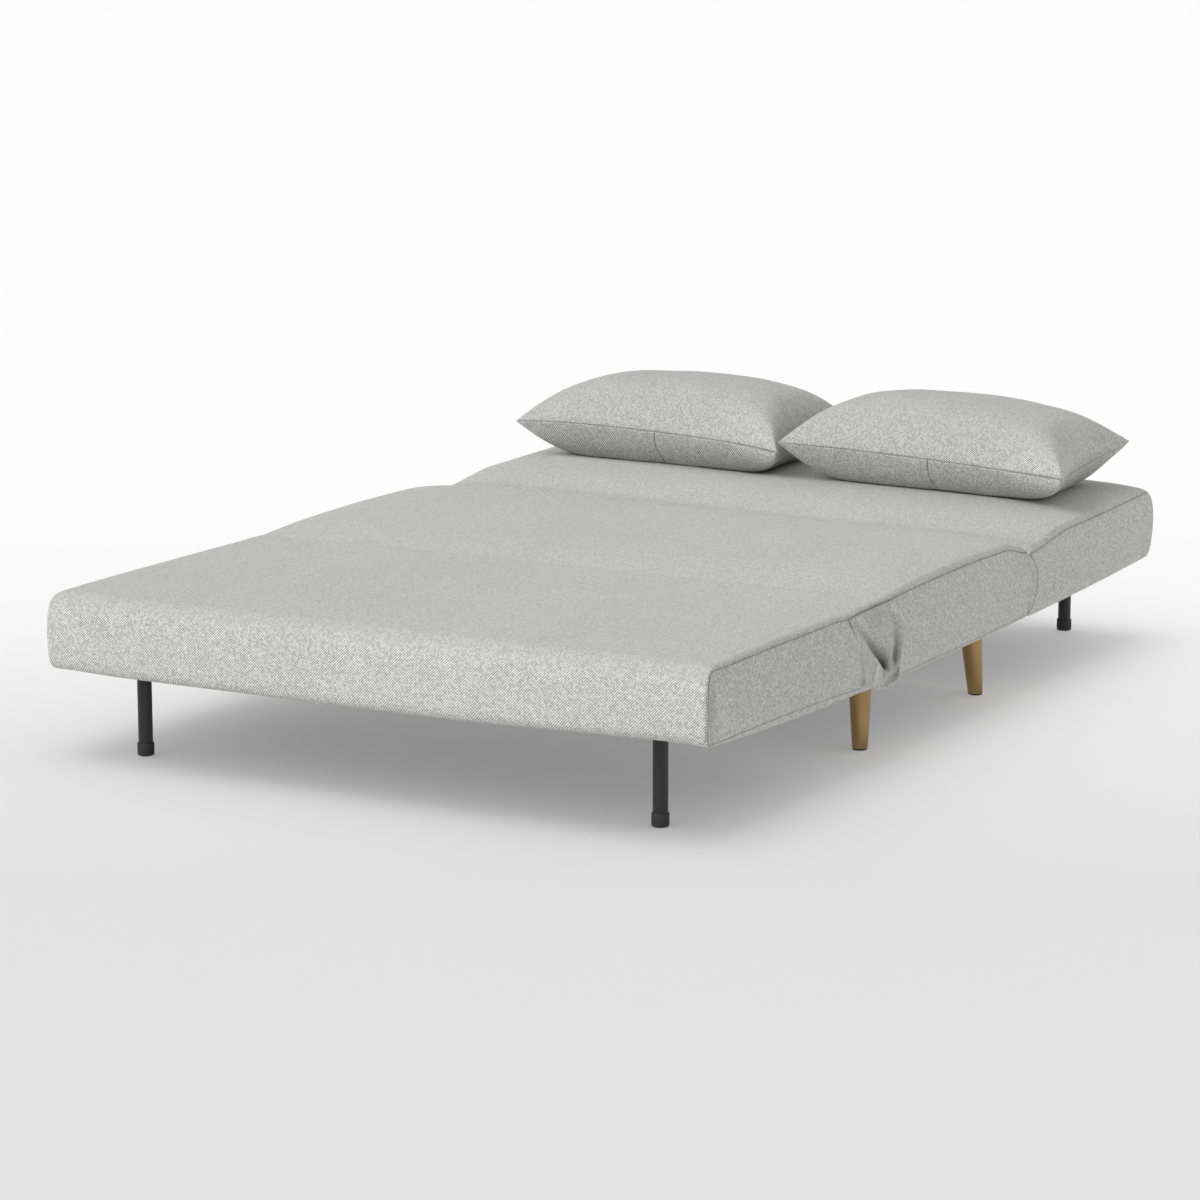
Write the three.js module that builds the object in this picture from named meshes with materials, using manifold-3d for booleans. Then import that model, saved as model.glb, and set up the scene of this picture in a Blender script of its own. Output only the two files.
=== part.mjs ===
// A click clack sofa bed laid flat: a fold-over front, a seat on brass legs, a reclining back and two pillows.
// Millimetres, +Z up, +Y towards the head end. The origin is on the floor under the middle of the whole.
import * as THREE from "three";
import { mergeVertices } from "three/addons/utils/BufferGeometryUtils.js";
import Module from "manifold-3d";

const wasm = await Module();
wasm.setup();

// Driving sizes of the bed
const bedWidth = 1420;
const frontLength = 685;
const seatLength = 740;
const backLength = 692;
const pillowOverhang = 30;
const fit = 0.3;
const overrun = 5;

const bedLength = frontLength + seatLength + backLength;
const yFront = -(bedLength + pillowOverhang) / 2;
const yFold = yFront + frontLength;
const yValley = yFold + seatLength;
const yHead = yFront + bedLength;
const halfWidth = bedWidth / 2;

// Fabric of the three covers
const cloth = {
  wall: 2,
  bow: 3,
  seamRadius: 9,
  hemRadius: 6,
  hemWidth: 46,
  cornerRadius: 14,
  undersideThickness: 1.2,
};

// Fold hinge between front and seat
const fold = { height: 316, gap: 1.5, pinRadius: 2, eyeRadius: 4, armThickness: 5, fromSide: 25 };
fold.armX = halfWidth - fold.fromSide;
fold.footReach = 17;
fold.slotClearance = 1;

// Click clack hinge between seat and back
const pivot = { fromValley: 55, height: 240, pinRadius: 5, clearance: 0.4, plate: 4 };
pivot.y = yValley + pivot.fromValley;
const backNearReach = 50;
const seatRearReach = 63;
const sweepRadius = 75.5;
const lipReach = 13;
const lipDepths = [3.8, 0.4];
const lipX = lipDepths.map((depth) => halfWidth - depth);

// Steel tube rails, slats and the stack that they make
const rail = { width: 20, height: 29.5, wall: 1.5 };
const slat = { width: 60, thickness: 8, offsetShare: 0.465 };
slat.offset = halfWidth * slat.offsetShare;
const stackHeight = rail.height + fit + slat.thickness + fit;

// Folding leg loops of round tube with rubber caps
const loop = { radius: 14, wall: 1.5, capWall: 2, capHeight: 25, capBase: 4, eyeWall: 3, eyeThickness: 8 };
loop.eyeFromSide = 240;
loop.eyeX = halfWidth - loop.eyeFromSide;

// Brass legs: foot places, splay towards the foot and the turned outline
const brassLeg = {
  footFromSide: [95, 98],
  footFromFold: 130.5,
  footFromValley: 47,
  splayX: 9,
  splayY: 16,
  glideHeight: 3,
  stations: [0, 85, 157],
  radii: [15.5, 20, 24.5],
  studRadius: 4,
  studClearance: 0.4,
  socketWall: 8,
  plateThickness: 4,
};

// Each section is a padded block: heights at its two ends, crown, and how its ends round over
const sections = {
  front: {
    ends: [yFront, yFold - fold.gap],
    underside: [178, 162],
    rim: [315, 314],
    rimBow: 4,
    crown: 8,
    rampLength: 220,
    dropShares: [1, 1],
    sag: [0, 0],
    topRadii: [32, 6],
    bottomRadii: [22, 8],
    lean: 5,
    frameBase: 180.5,
    railOuter: halfWidth - 16,
    railInset: [62, 24],
    loopLift: 15,
  },
  seat: {
    ends: [yFold + fold.gap, pivot.y - seatRearReach],
    underside: [156, 168],
    rim: [314, 322],
    rimBow: 10,
    crown: 14,
    rampLength: 280,
    dropShares: [1, 1],
    sag: [0, 14],
    topRadii: [6, 14],
    bottomRadii: [8, 10],
    lean: 0,
    frameBase: 170.5,
    railOuter: halfWidth - 9.3,
    railInset: [24, 21],
  },
  back: {
    ends: [pivot.y - backNearReach, yHead],
    underside: [170, 181],
    rim: [318, 333],
    rimBow: 0,
    crown: 20,
    rampLength: 250,
    dropShares: [1, 0.4],
    sag: [12.5, 1],
    topRadii: [30, 46],
    bottomRadii: [30, 24],
    lean: 0,
    frameBase: 183.5,
    railOuter: halfWidth - 20,
    railInset: [34, 51],
    loopLift: 20,
    raisedRear: true,
  },
};

// How steeply the crown of a section falls to its side seams
const crownPower = 10;

const weld = 1e-4;
const lerp = THREE.MathUtils.lerp;
const clamp01 = (share) => THREE.MathUtils.clamp(share, 0, 1);
const rise = (share) => clamp01(share) ** 2 * (3 - 2 * clamp01(share));

// A closed three.js geometry as a solid that can be joined and cut
function solidOf(geometry) {
  const loose = geometry.index ? geometry.toNonIndexed() : geometry;
  const bare = new THREE.BufferGeometry();
  bare.setAttribute("position", loose.getAttribute("position"));
  const merged = mergeVertices(bare, weld);
  return new wasm.Manifold(
    new wasm.Mesh({
      numProp: 3,
      vertProperties: merged.attributes.position.array,
      triVerts: new Uint32Array(merged.index.array),
    }),
  );
}

function geometryOf(solid) {
  const mesh = solid.getMesh();
  const geometry = new THREE.BufferGeometry();
  geometry.setAttribute("position", new THREE.BufferAttribute(mesh.vertProperties, mesh.numProp));
  geometry.setIndex(new THREE.BufferAttribute(mesh.triVerts, 1));
  geometry.computeVertexNormals();
  return geometry;
}

const joined = (solids) => solids.reduce((all, one) => all.add(one));
const without = (solid, cuts) => cuts.reduce((left, cut) => left.subtract(cut), solid);

function block([xa, xb], [ya, yb], [za, zb]) {
  const box = new THREE.BoxGeometry(xb - xa, yb - ya, zb - za);
  return solidOf(box.translate((xa + xb) / 2, (ya + yb) / 2, (za + zb) / 2));
}

// A round bar along X, and one along Z
function barX(radius, [xa, xb], y, z, sides) {
  const bar = new THREE.CylinderGeometry(radius, radius, xb - xa, sides);
  return solidOf(bar.rotateZ(Math.PI / 2).translate((xa + xb) / 2, y, z));
}

function barZ(radius, x, y, [za, zb], sides) {
  const bar = new THREE.CylinderGeometry(radius, radius, zb - za, sides);
  return solidOf(bar.rotateX(Math.PI / 2).translate(x, y, (za + zb) / 2));
}

// A flat plate drawn in the YZ plane, with its thickness along X
const sideways = new THREE.Matrix4().makeBasis(
  new THREE.Vector3(0, 1, 0),
  new THREE.Vector3(0, 0, 1),
  new THREE.Vector3(1, 0, 0),
);

function plateX(shape, [xa, xb], curveSegments = 6) {
  const plate = new THREE.ExtrudeGeometry(shape, { depth: xb - xa, bevelEnabled: false, curveSegments });
  return solidOf(plate.applyMatrix4(sideways).translate(xa, 0, 0));
}

// The right-hand piece as made, or its mirror image on the left
function onSide(side, solid) {
  const geometry = geometryOf(solid);
  if (side > 0) return geometry;
  geometry.scale(-1, 1, 1);
  const index = geometry.index.array;
  for (let i = 0; i < index.length; i += 3) [index[i], index[i + 1]] = [index[i + 1], index[i]];
  geometry.computeVertexNormals();
  return geometry;
}

const bothSides = (solid) => [solid, solidOf(onSide(-1, solid))];

// Outer surface of a section
const shareAlong = (section, y) => (y - section.ends[0]) / (section.ends[1] - section.ends[0]);
const undersideAt = (section, y) => lerp(...section.underside, shareAlong(section, y));

function topAt(section, x, y) {
  const near = 1 - rise((y - section.ends[0]) / section.rampLength);
  const far = 1 - rise((section.ends[1] - y) / section.rampLength);
  const across = 1 - ((2 * x) / bedWidth) ** crownPower;
  const share = shareAlong(section, y);
  const bow = section.rimBow * (1 - (2 * share - 1) ** 2);
  const kept = 1 - section.dropShares[0] * near - section.dropShares[1] * far;
  const sag = section.sag[0] * near + section.sag[1] * far;
  return lerp(...section.rim, share) + bow + section.crown * across * kept - sag;
}

// How far a rounded edge of that radius draws back at a depth below or above it
function roundBack(radius, depth) {
  return depth < radius ? radius - Math.sqrt(radius ** 2 - (radius - depth) ** 2) : 0;
}

// Points of a rounded rectangle, counter-clockwise from above
function planRing([xa, xb], [ya, yb], radius, detail) {
  const points = [];
  const corners = [
    [xb - radius, ya + radius, -Math.PI / 2],
    [xb - radius, yb - radius, 0],
    [xa + radius, yb - radius, Math.PI / 2],
    [xa + radius, ya + radius, Math.PI],
  ];
  corners.forEach(([x, y, start], corner) => {
    for (let i = 0; i <= detail.cornerSteps; i++) {
      const angle = start + ((Math.PI / 2) * i) / detail.cornerSteps;
      points.push([x + radius * Math.cos(angle), y + radius * Math.sin(angle)]);
    }
    const shares = corner % 2 ? detail.acrossShares : detail.alongShares;
    const last = points[points.length - 1];
    const [nextX, nextY, nextStart] = corners[(corner + 1) % corners.length];
    const next = [nextX + radius * Math.cos(nextStart), nextY + radius * Math.sin(nextStart)];
    for (const share of shares) points.push([lerp(last[0], next[0], share), lerp(last[1], next[1], share)]);
  });
  return points;
}

// A closed surface through rings of points from the bottom to the top, capped at two middle points
function ringSolid(rings, bottom, top) {
  const corners = [];
  const count = rings[0].length;
  const face = (...points) => points.forEach((point) => corners.push(...point));
  for (let i = 0; i < count; i++) {
    const j = (i + 1) % count;
    face(bottom, rings[0][j], rings[0][i]);
    for (let k = 0; k + 1 < rings.length; k++) {
      face(rings[k][i], rings[k][j], rings[k + 1][j]);
      face(rings[k][i], rings[k + 1][j], rings[k + 1][i]);
    }
    face(top, rings.at(-1)[i], rings.at(-1)[j]);
  }
  const geometry = new THREE.BufferGeometry();
  return geometry.setAttribute("position", new THREE.Float32BufferAttribute(corners, 3));
}

// Fineness of the outer skin and of the hidden inner surfaces
const skinDetail = {
  cornerSteps: 3,
  acrossShares: [0.12, 0.3, 0.5, 0.7, 0.88],
  alongShares: [0.12, 0.3, 0.5, 0.7, 0.88],
  lowerShares: [0, 0.1, 0.4, 1],
  upperShares: [1, 0.6, 0.28, 0.08, 0],
  inwardShares: [0.1, 0.28, 0.55],
};
const liningDetail = {
  cornerSteps: 2,
  acrossShares: [0.2, 0.5, 0.8],
  alongShares: [0.3, 0.7],
  lowerShares: [0, 0.4, 1],
  upperShares: [1, 0.3, 0],
  inwardShares: [0.3],
};

// The padded block of a section, drawn in by an inset all round
function paddedBlock(section, inset, detail) {
  const [ya, yb] = [section.ends[0] + inset, section.ends[1] - inset];
  const half = halfWidth - inset;
  const depthBelow = Math.max(...section.topRadii);
  const depthAbove = Math.max(...section.bottomRadii);
  const ringAt = (below, above) => {
    const edge = (side, seam, hem) => (below === null ? roundBack(hem, above) : roundBack(seam, below)) + side;
    const bowed = below === null ? depthAbove - above : depthBelow - below;
    const bow = cloth.bow * clamp01(bowed / Math.max(depthAbove, depthBelow)) ** 2;
    const lean = below === null ? 0 : section.lean;
    const side = edge(bow, cloth.seamRadius, cloth.hemRadius);
    const start = edge(lean, section.topRadii[0], section.bottomRadii[0]);
    const end = edge(0, section.topRadii[1], section.bottomRadii[1]);
    const plan = planRing([side - half, half - side], [ya + start, yb - end], cloth.cornerRadius, detail);
    return plan.map(([x, y]) => {
      if (below === null) return [x, y, undersideAt(section, y) + inset + above];
      return [x, y, topAt(section, x, y) - inset - below];
    });
  };
  const rings = detail.lowerShares.map((share) => ringAt(null, share * depthAbove));
  rings.push(...detail.upperShares.map((share) => ringAt(share * depthBelow, null)));
  const start = section.topRadii[0] + section.lean;
  for (const share of detail.inwardShares) {
    const x = (half - cloth.seamRadius) * (1 - share);
    const middle = (ya + start + yb - section.topRadii[1]) / 2;
    const reach = ((yb - section.topRadii[1] - ya - start) / 2) * (1 - share);
    const plan = planRing([-x, x], [middle - reach, middle + reach], cloth.cornerRadius, detail);
    rings.push(plan.map(([px, py]) => [px, py, topAt(section, px, py) - inset]));
  }
  const centre = (ya + yb) / 2;
  const bottom = [0, centre, undersideAt(section, centre) + inset];
  return solidOf(ringSolid(rings, bottom, [0, centre, topAt(section, 0, centre) - inset]));
}

// Where the rails of a section lie
function frameOf(section) {
  const outerY = [section.ends[0] + section.railInset[0], section.ends[1] - section.railInset[1]];
  const innerY = [outerY[0] + rail.width, outerY[1] - rail.width];
  const z = [section.frameBase, section.frameBase + rail.height];
  const rearZ = section.raisedRear ? z.map((level) => level + stackHeight) : z;
  const sideY = [innerY[0] + fit, section.raisedRear ? outerY[1] : innerY[1] - fit];
  return { outerY, innerY, sideY, z, rearZ, outerX: section.railOuter, innerX: section.railOuter - rail.width };
}

const frames = Object.fromEntries(Object.entries(sections).map(([name, section]) => [name, frameOf(section)]));
const slatZ = (section) => section.frameBase + rail.height + fit;

// Square tube rails, open at their ends
function railAlongX(frame, [ya, yb], [za, zb]) {
  const bore = block(
    [-frame.outerX - overrun, frame.outerX + overrun],
    [ya + rail.wall, yb - rail.wall],
    [za + rail.wall, zb - rail.wall],
  );
  return block([-frame.outerX, frame.outerX], [ya, yb], [za, zb]).subtract(bore);
}

function railAlongY(frame) {
  const [za, zb] = frame.z;
  const y = frame.sideY;
  const bore = block(
    [frame.innerX + rail.wall, frame.outerX - rail.wall],
    [y[0] - overrun, y[1] + overrun],
    [za + rail.wall, zb - rail.wall],
  );
  return block([frame.innerX, frame.outerX], y, [za, zb]).subtract(bore);
}

// Leg loops: where each one turns
const loops = {
  front: { section: sections.front, fromSide: 150, fromEnd: 104.7, turn: 1 },
  rear: { section: sections.back, fromSide: 192.5, fromEnd: 28, turn: -1 },
};
for (const one of Object.values(loops)) {
  one.x = halfWidth - one.fromSide;
  one.y = one.turn > 0 ? yFront + one.fromEnd : yHead - one.fromEnd;
  one.z = one.section.frameBase + one.section.loopLift;
}
const capRadius = loop.radius + fit + loop.capWall;
const loopEyeRadius = loop.radius + fit + loop.eyeWall;

// The hinge plates of the click clack fitting, drawn round the pivot
const fitting = {
  fixedX: [sections.seat.railOuter + fit, sections.seat.railOuter + fit + pivot.plate],
  movingX: [sections.back.railOuter + fit, sections.back.railOuter + fit + pivot.plate],
  fixedEye: 10,
  fixedNeck: 11,
  movingEye: 13,
  footLift: 5,
  fixedFoot: [190, 104],
  movingFoot: [16, 92],
  headRadius: 8,
  headThickness: 2,
  ratchetRadius: 9.5,
  notchDepth: 2,
  notchCount: 3,
  notchStart: 0.4,
  notchWidth: 0.35,
};
const pawl = {
  at: [30, -14],
  boss: 7,
  studRadius: 3,
  finger: 5,
  tipClearance: 0.6,
  thickness: 2.6,
};
pawl.x = [fitting.movingX[1] + fit, fitting.movingX[1] + fit + pawl.thickness];
pawl.y = pivot.y + pawl.at[0];
pawl.z = pivot.height + pawl.at[1];

// A shallow round recess in the back's side, so that it turns past the fixed plate
const recess = { depth: 10.2, flatRadius: 79, rimRadius: 128, holeRadius: 12.5 };

function sideRecess(shift) {
  const topX = halfWidth + overrun;
  const flatX = halfWidth - recess.depth - shift;
  const slope = recess.depth / (recess.rimRadius - recess.flatRadius);
  const profile = [
    new THREE.Vector2(0, flatX),
    new THREE.Vector2(recess.flatRadius, flatX),
    new THREE.Vector2(recess.flatRadius + (topX - flatX) / slope, topX),
    new THREE.Vector2(0, topX),
  ];
  const dish = new THREE.LatheGeometry(profile, 40);
  return solidOf(dish.rotateZ(-Math.PI / 2).translate(0, pivot.y, pivot.height));
}

function circle(shape, y, z, radius) {
  shape.absarc(y, z, radius, 0, 2 * Math.PI, false);
  return shape;
}

// Fold hinge arms: a foot on the end rail, a slanting neck and an eye round the pin
function foldArm(direction, footZ, grow, [xa, xb]) {
  const foot = fold.gap + sections.seat.railInset[0] + fold.eyeRadius;
  const near = direction * (foot - fold.eyeRadius - grow);
  const far = direction * (foot + fold.footReach - fold.eyeRadius + grow);
  const eye = fold.eyeRadius + grow;
  const neck = new THREE.Shape();
  neck.moveTo(yFold + near, footZ);
  neck.lineTo(yFold + far, footZ);
  neck.lineTo(yFold + direction * eye, fold.height);
  neck.lineTo(yFold - direction * eye, fold.height);
  neck.closePath();
  const round = circle(new THREE.Shape(), yFold, fold.height, eye);
  return plateX(neck, [xa, xb]).add(plateX(round, [xa, xb], 7));
}

const foldX = {
  seat: [fold.armX, fold.armX + fold.armThickness],
  front: [fold.armX + fold.armThickness + 2 * fit, fold.armX + 2 * fold.armThickness + 2 * fit],
};

function foldSlots(direction, footZ) {
  const x = direction > 0 ? foldX.seat : foldX.front;
  const otherX = direction > 0 ? foldX.front : foldX.seat;
  const wider = ([xa, xb]) => [xa - 2 * fit, xb + 2 * fit];
  const own = foldArm(direction, footZ, fold.slotClearance, wider(x));
  const other = foldArm(-direction, footZ, fold.slotClearance, wider(otherX));
  const round = circle(new THREE.Shape(), yFold, fold.height, fold.eyeRadius + fold.slotClearance);
  const eyes = plateX(round, [foldX.seat[0] - overrun, foldX.front[1] + overrun], 7);
  return bothSides(joined([own, other, eyes]));
}

// Slots and holes in the fabric for legs and hinges
function legSlots(one) {
  const half = capRadius + 2 * fit + loop.capWall;
  const far = one.z + capRadius + loop.capWall;
  const y = one.turn > 0 ? [one.y - half, one.y + far] : [one.y - far, one.y + half];
  const z = [Math.min(...one.section.underside) - overrun, one.section.frameBase + 2 * overrun];
  return bothSides(block([one.x - half, one.x + half], y, z));
}

const footY = [yFold + brassLeg.footFromFold, yValley - brassLeg.footFromValley];
const legTops = brassLeg.footFromSide.map((fromSide, i) => {
  const sign = i ? 1 : -1;
  const x = halfWidth - fromSide;
  const y = footY[i];
  return { x: x - brassLeg.splayX, y: y - sign * brassLeg.splayY, footX: x, footY: y };
});

const studHoles = legTops.flatMap(({ x, y }) => {
  const radius = brassLeg.studRadius + brassLeg.studClearance;
  const z = [Math.min(...sections.seat.underside) - overrun, slatZ(sections.seat)];
  return bothSides(barZ(radius, x, y, z, 16));
});

const bedSweep = (grow) =>
  barX(sweepRadius + grow, [-bedWidth, bedWidth], pivot.y, pivot.height, 64);

// The fixed plate: a foot on the seat's side rail and a neck up to the eye
function fixedPlateShape(grow) {
  const [back, near] = fitting.fixedFoot;
  const foot = sections.seat.frameBase + fitting.footLift;
  const top = sections.seat.frameBase + rail.height - fitting.footLift / 2;
  const shape = new THREE.Shape();
  shape.moveTo(pivot.y - back - grow, foot - grow);
  shape.lineTo(pivot.y - near + grow, foot - grow);
  shape.lineTo(pivot.y + grow, pivot.height - fitting.fixedNeck + 1.5 * fit - grow);
  shape.lineTo(pivot.y + grow, pivot.height + fitting.fixedEye - fit + grow);
  shape.lineTo(pivot.y - near / 2, pivot.height + fitting.fixedEye - fit + grow);
  shape.lineTo(pivot.y - back - grow, top + grow);
  shape.closePath();
  return shape;
}

function seatLip() {
  const y = pivot.y;
  const z = pivot.height;
  const upper = sections.seat.rim[1] - sections.seat.sag[1] - cloth.seamRadius - z;
  const lower = z - sections.seat.underside[1] - cloth.hemRadius;
  const root = seatRearReach + cloth.wall / 2;
  const hollow = sweepRadius + cloth.wall / 2;
  const shape = new THREE.Shape();
  shape.moveTo(y - root, z - lower);
  shape.bezierCurveTo(y - root / 3, z - lower, y + lipReach, z - lower / 1.5, y + lipReach, z);
  shape.bezierCurveTo(y + lipReach, z + upper / 1.5, y - root / 3, z + upper, y - root, z + upper);
  shape.lineTo(y - root, z + upper / 1.4);
  shape.lineTo(y - hollow, z + upper / 5);
  shape.lineTo(y - hollow, z - lower / 5);
  shape.lineTo(y - root, z - lower / 1.4);
  shape.closePath();
  return plateX(shape, lipX, 8);
}

// Cover, foam and underside cloth of a section
function coverOf(name, cuts, insetCut, extras) {
  const section = sections[name];
  const outer = without(paddedBlock(section, 0, skinDetail), insetCut(0));
  const inner = without(paddedBlock(section, cloth.wall, liningDetail), insetCut(cloth.wall));
  const lowest = Math.min(...section.underside) - overrun;
  const opening = block(
    [cloth.hemWidth - halfWidth, halfWidth - cloth.hemWidth],
    [section.ends[0] + cloth.hemWidth, section.ends[1] - cloth.hemWidth],
    [lowest, section.frameBase + rail.height / 2],
  );
  return without(joined([outer.subtract(inner), ...extras]), [opening, ...cuts]);
}

function foamOf(name, cuts, insetCut) {
  const section = sections[name];
  const frame = frames[name];
  const core = without(paddedBlock(section, cloth.wall + fit, liningDetail), insetCut(cloth.wall + fit));
  const lowest = Math.min(...section.underside) - overrun;
  const hollow = block(
    [-frame.outerX - fit, frame.outerX + fit],
    [frame.outerY[0] - fit, frame.outerY[1] + fit],
    [lowest, section.frameBase + stackHeight],
  );
  return without(core, [hollow, ...cuts]);
}

function undersideCloth(name, cuts) {
  const section = sections[name];
  const reach = halfWidth - cloth.hemWidth - fit;
  const ends = [section.ends[0] + cloth.hemWidth + fit, section.ends[1] - cloth.hemWidth - fit];
  const shape = new THREE.Shape();
  const low = ends.map((y) => undersideAt(section, y) + fit);
  shape.moveTo(ends[0], low[0]);
  shape.lineTo(ends[1], low[1]);
  shape.lineTo(ends[1], low[1] + cloth.undersideThickness);
  shape.lineTo(ends[0], low[0] + cloth.undersideThickness);
  shape.closePath();
  return without(plateX(shape, [-reach, reach]), cuts);
}

// Pieces of the model, collected by name
const bed = new THREE.Group();

function material(colour, roughness, metalness = 0) {
  return () => new THREE.MeshStandardMaterial({ color: colour, roughness, metalness });
}

const looks = {
  fabric: material(0xb9b9b7, 0.95),
  foam: material(0xe8dfc4, 0.9),
  lining: material(0x2c2c2e, 0.95),
  steel: material(0x3a3b3d, 0.5, 0.6),
  zinc: material(0x9a9c9e, 0.4, 0.8),
  wood: material(0xd2b183, 0.7),
  brass: material(0xa98a56, 0.32, 0.9),
  tube: material(0x18181a, 0.45, 0.3),
  rubber: material(0x141414, 0.85),
  filling: material(0xf0efec, 1),
};

function add(name, solid, look, side = 1) {
  const mesh = new THREE.Mesh(onSide(side, solid), looks[look]());
  mesh.name = name;
  bed.add(mesh);
}

const sides = { left: -1, right: 1 };
const eachSide = (make) => Object.entries(sides).forEach(([word, side]) => make(word, side));

// Rails and slats of every section
function addFrame(name, { frontExtras = [], rearExtras = [], sideExtras = [] }) {
  const section = sections[name];
  const frame = frames[name];
  const ends = { front: [frame.outerY[0], frame.innerY[0]], rear: [frame.innerY[1], frame.outerY[1]] };
  const [frontRail, rearRail] = [railAlongX(frame, ends.front, frame.z), railAlongX(frame, ends.rear, frame.rearZ)];
  add(`${name}_frame_front_rail`, joined([frontRail, ...frontExtras]), "steel");
  add(`${name}_frame_rear_rail`, joined([rearRail, ...rearExtras]), "steel");
  eachSide((word, side) => {
    add(`${name}_frame_${word}_rail`, joined([railAlongY(frame), ...sideExtras]), "steel", side);
  });
  const z = [slatZ(section), slatZ(section) + slat.thickness];
  [-1, 0, 1].forEach((place, i) => {
    const x = place * slat.offset;
    add(`${name}_slat_${i + 1}`, block([x - slat.width / 2, x + slat.width / 2], frame.outerY, z), "wood");
  });
}

// Two eyes on a rail, in which a leg loop turns
function loopEyes(one, railFaceY, railZ) {
  const eyeX = [loop.eyeX, loop.eyeX + loop.eyeThickness];
  const half = loop.radius / 2;
  const weldZ = (railZ[0] + railZ[1]) / 2;
  const shape = new THREE.Shape();
  shape.moveTo(one.y, one.z - half);
  shape.lineTo(railFaceY, weldZ - half);
  shape.lineTo(railFaceY, weldZ + half);
  shape.lineTo(one.y, one.z + half);
  const neck = plateX(railFaceY < one.y ? new THREE.Shape(shape.getPoints().reverse()) : shape, eyeX);
  const ring = barX(loopEyeRadius, eyeX, one.y, one.z, 24);
  const bore = barX(loop.radius + fit, [eyeX[0] - overrun, eyeX[1] + overrun], one.y, one.z, 24);
  return bothSides(joined([ring, neck]).subtract(bore));
}

// A leg loop: a cross tube turning down into two legs, hollow and open at the feet
function legLoop(one) {
  const feet = loop.capBase + fit;
  const tube = (radius, reach) => {
    const parts = [barX(radius, [-one.x, one.x], one.y, one.z, 20)];
    for (const x of [-one.x, one.x]) {
      parts.push(solidOf(new THREE.SphereGeometry(radius, 20, 10).rotateX(Math.PI / 2).translate(x, one.y, one.z)));
      parts.push(barZ(radius, x, one.y, [feet - reach, one.z], 20));
    }
    return joined(parts);
  };
  return tube(loop.radius, 0).subtract(tube(loop.radius - loop.wall, overrun));
}

function rubberCap(x, y) {
  const inner = loop.radius + fit / 2;
  const round = 3;
  const profile = [
    [0, 0],
    [capRadius - round, 0],
    [capRadius, round],
    [capRadius, loop.capHeight],
    [inner, loop.capHeight],
    [inner, loop.capBase],
    [0, loop.capBase],
  ].map(([r, z]) => new THREE.Vector2(r, z));
  return solidOf(new THREE.LatheGeometry(profile, 24).rotateX(Math.PI / 2).translate(x, y, 0));
}

// A turned leg that leans out to its foot, with flat ends
function leaning(geometry, top, height) {
  const place = geometry.getAttribute("position");
  for (let i = 0; i < place.count; i++) {
    const down = (height - place.getZ(i)) / height;
    place.setX(i, place.getX(i) + top.x + (top.footX - top.x) * Math.max(down, 0));
    place.setY(i, place.getY(i) + top.y + (top.footY - top.y) * Math.max(down, 0));
  }
  return solidOf(geometry);
}

function turned(points, sides) {
  const profile = points.map(([r, z]) => new THREE.Vector2(r, z));
  return new THREE.LatheGeometry(profile, sides).rotateX(Math.PI / 2);
}

// Frames with their welded fittings
const seatFrame = frames.seat;
const sockets = legTops.map(({ x, y }) => {
  const radius = brassLeg.radii.at(-1);
  const low = undersideAt(sections.seat, y) + cloth.wall + 2 * fit;
  const z = [low, sections.seat.frameBase + brassLeg.plateThickness];
  const socket = barZ(radius, x, y, z, 24);
  const strap = block(
    [x, seatFrame.innerX + rail.wall],
    [y - radius, y + radius],
    [sections.seat.frameBase, sections.seat.frameBase + brassLeg.plateThickness],
  );
  return joined([socket, strap]);
});
const rearRailZone = block(
  [-seatFrame.outerX, seatFrame.outerX],
  [seatFrame.innerY[1] - fit, seatFrame.outerY[1] + overrun],
  seatFrame.z,
);
const sidePlates = sockets.map((socket) => without(socket, [...studHoles, rearRailZone]));
const backFrame = frames.back;
const backFeet = bothSides(
  block(
    [backFrame.innerX, backFrame.outerX],
    [backFrame.innerY[1], backFrame.outerY[1]],
    [backFrame.z[1] + fit, backFrame.rearZ[0]],
  ),
);
const frontEyes = loopEyes(loops.front, frames.front.innerY[0] - rail.wall, frames.front.z);
const rearEyes = loopEyes(loops.rear, backFrame.outerY[1] - rail.wall, backFrame.rearZ);
addFrame("seat", { sideExtras: sidePlates });
addFrame("front", { frontExtras: frontEyes });
addFrame("back", { rearExtras: [...backFeet, ...rearEyes] });

// Covers, foam and underside cloths
const noCut = () => [];
const armTop = (name) => sections[name].frameBase + rail.height + fit;
const frontSlots = foldSlots(-1, armTop("front") - fit);
const seatSlots = foldSlots(1, armTop("seat") - fit);
const fixedSlot = bothSides(
  plateX(fixedPlateShape(2 * fit), [fitting.fixedX[0] - 2 * fit, fitting.fixedX[1] + 2 * fit]),
);
const fixedBody = bothSides(plateX(fixedPlateShape(fit), [fitting.fixedX[0] - fit, fitting.fixedX[1] + fit]));
const backHole = bothSides(
  barX(recess.holeRadius, [fitting.movingX[0], halfWidth + overrun], pivot.y, pivot.height, 24),
);
const movingPocket = bothSides(
  block(
    [fitting.movingX[0] - 2 * overrun, pawl.x[1] + fit],
    [pivot.y - fitting.movingEye - overrun, pivot.y + fitting.movingFoot[1] + overrun],
    [sections.back.frameBase, pivot.height + fitting.movingEye + overrun],
  ),
);
const rearRailPocket = block(
  [-backFrame.outerX - fit, backFrame.outerX + fit],
  [backFrame.innerY[1] - fit, backFrame.outerY[1] + fit],
  [backFrame.z[0], backFrame.rearZ[1] + fit],
);
const loopPocketX = loops.rear.x + capRadius + 2 * fit;
const loopPocket = block(
  [-loopPocketX, loopPocketX],
  [backFrame.outerY[1], loops.rear.y + loopEyeRadius + 2 * fit],
  [Math.min(...sections.back.underside) - overrun, backFrame.rearZ[1] + fit],
);
const seatCut = (grow) => [bedSweep(grow)];
const backCut = (grow) => bothSides(sideRecess(grow));

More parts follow.
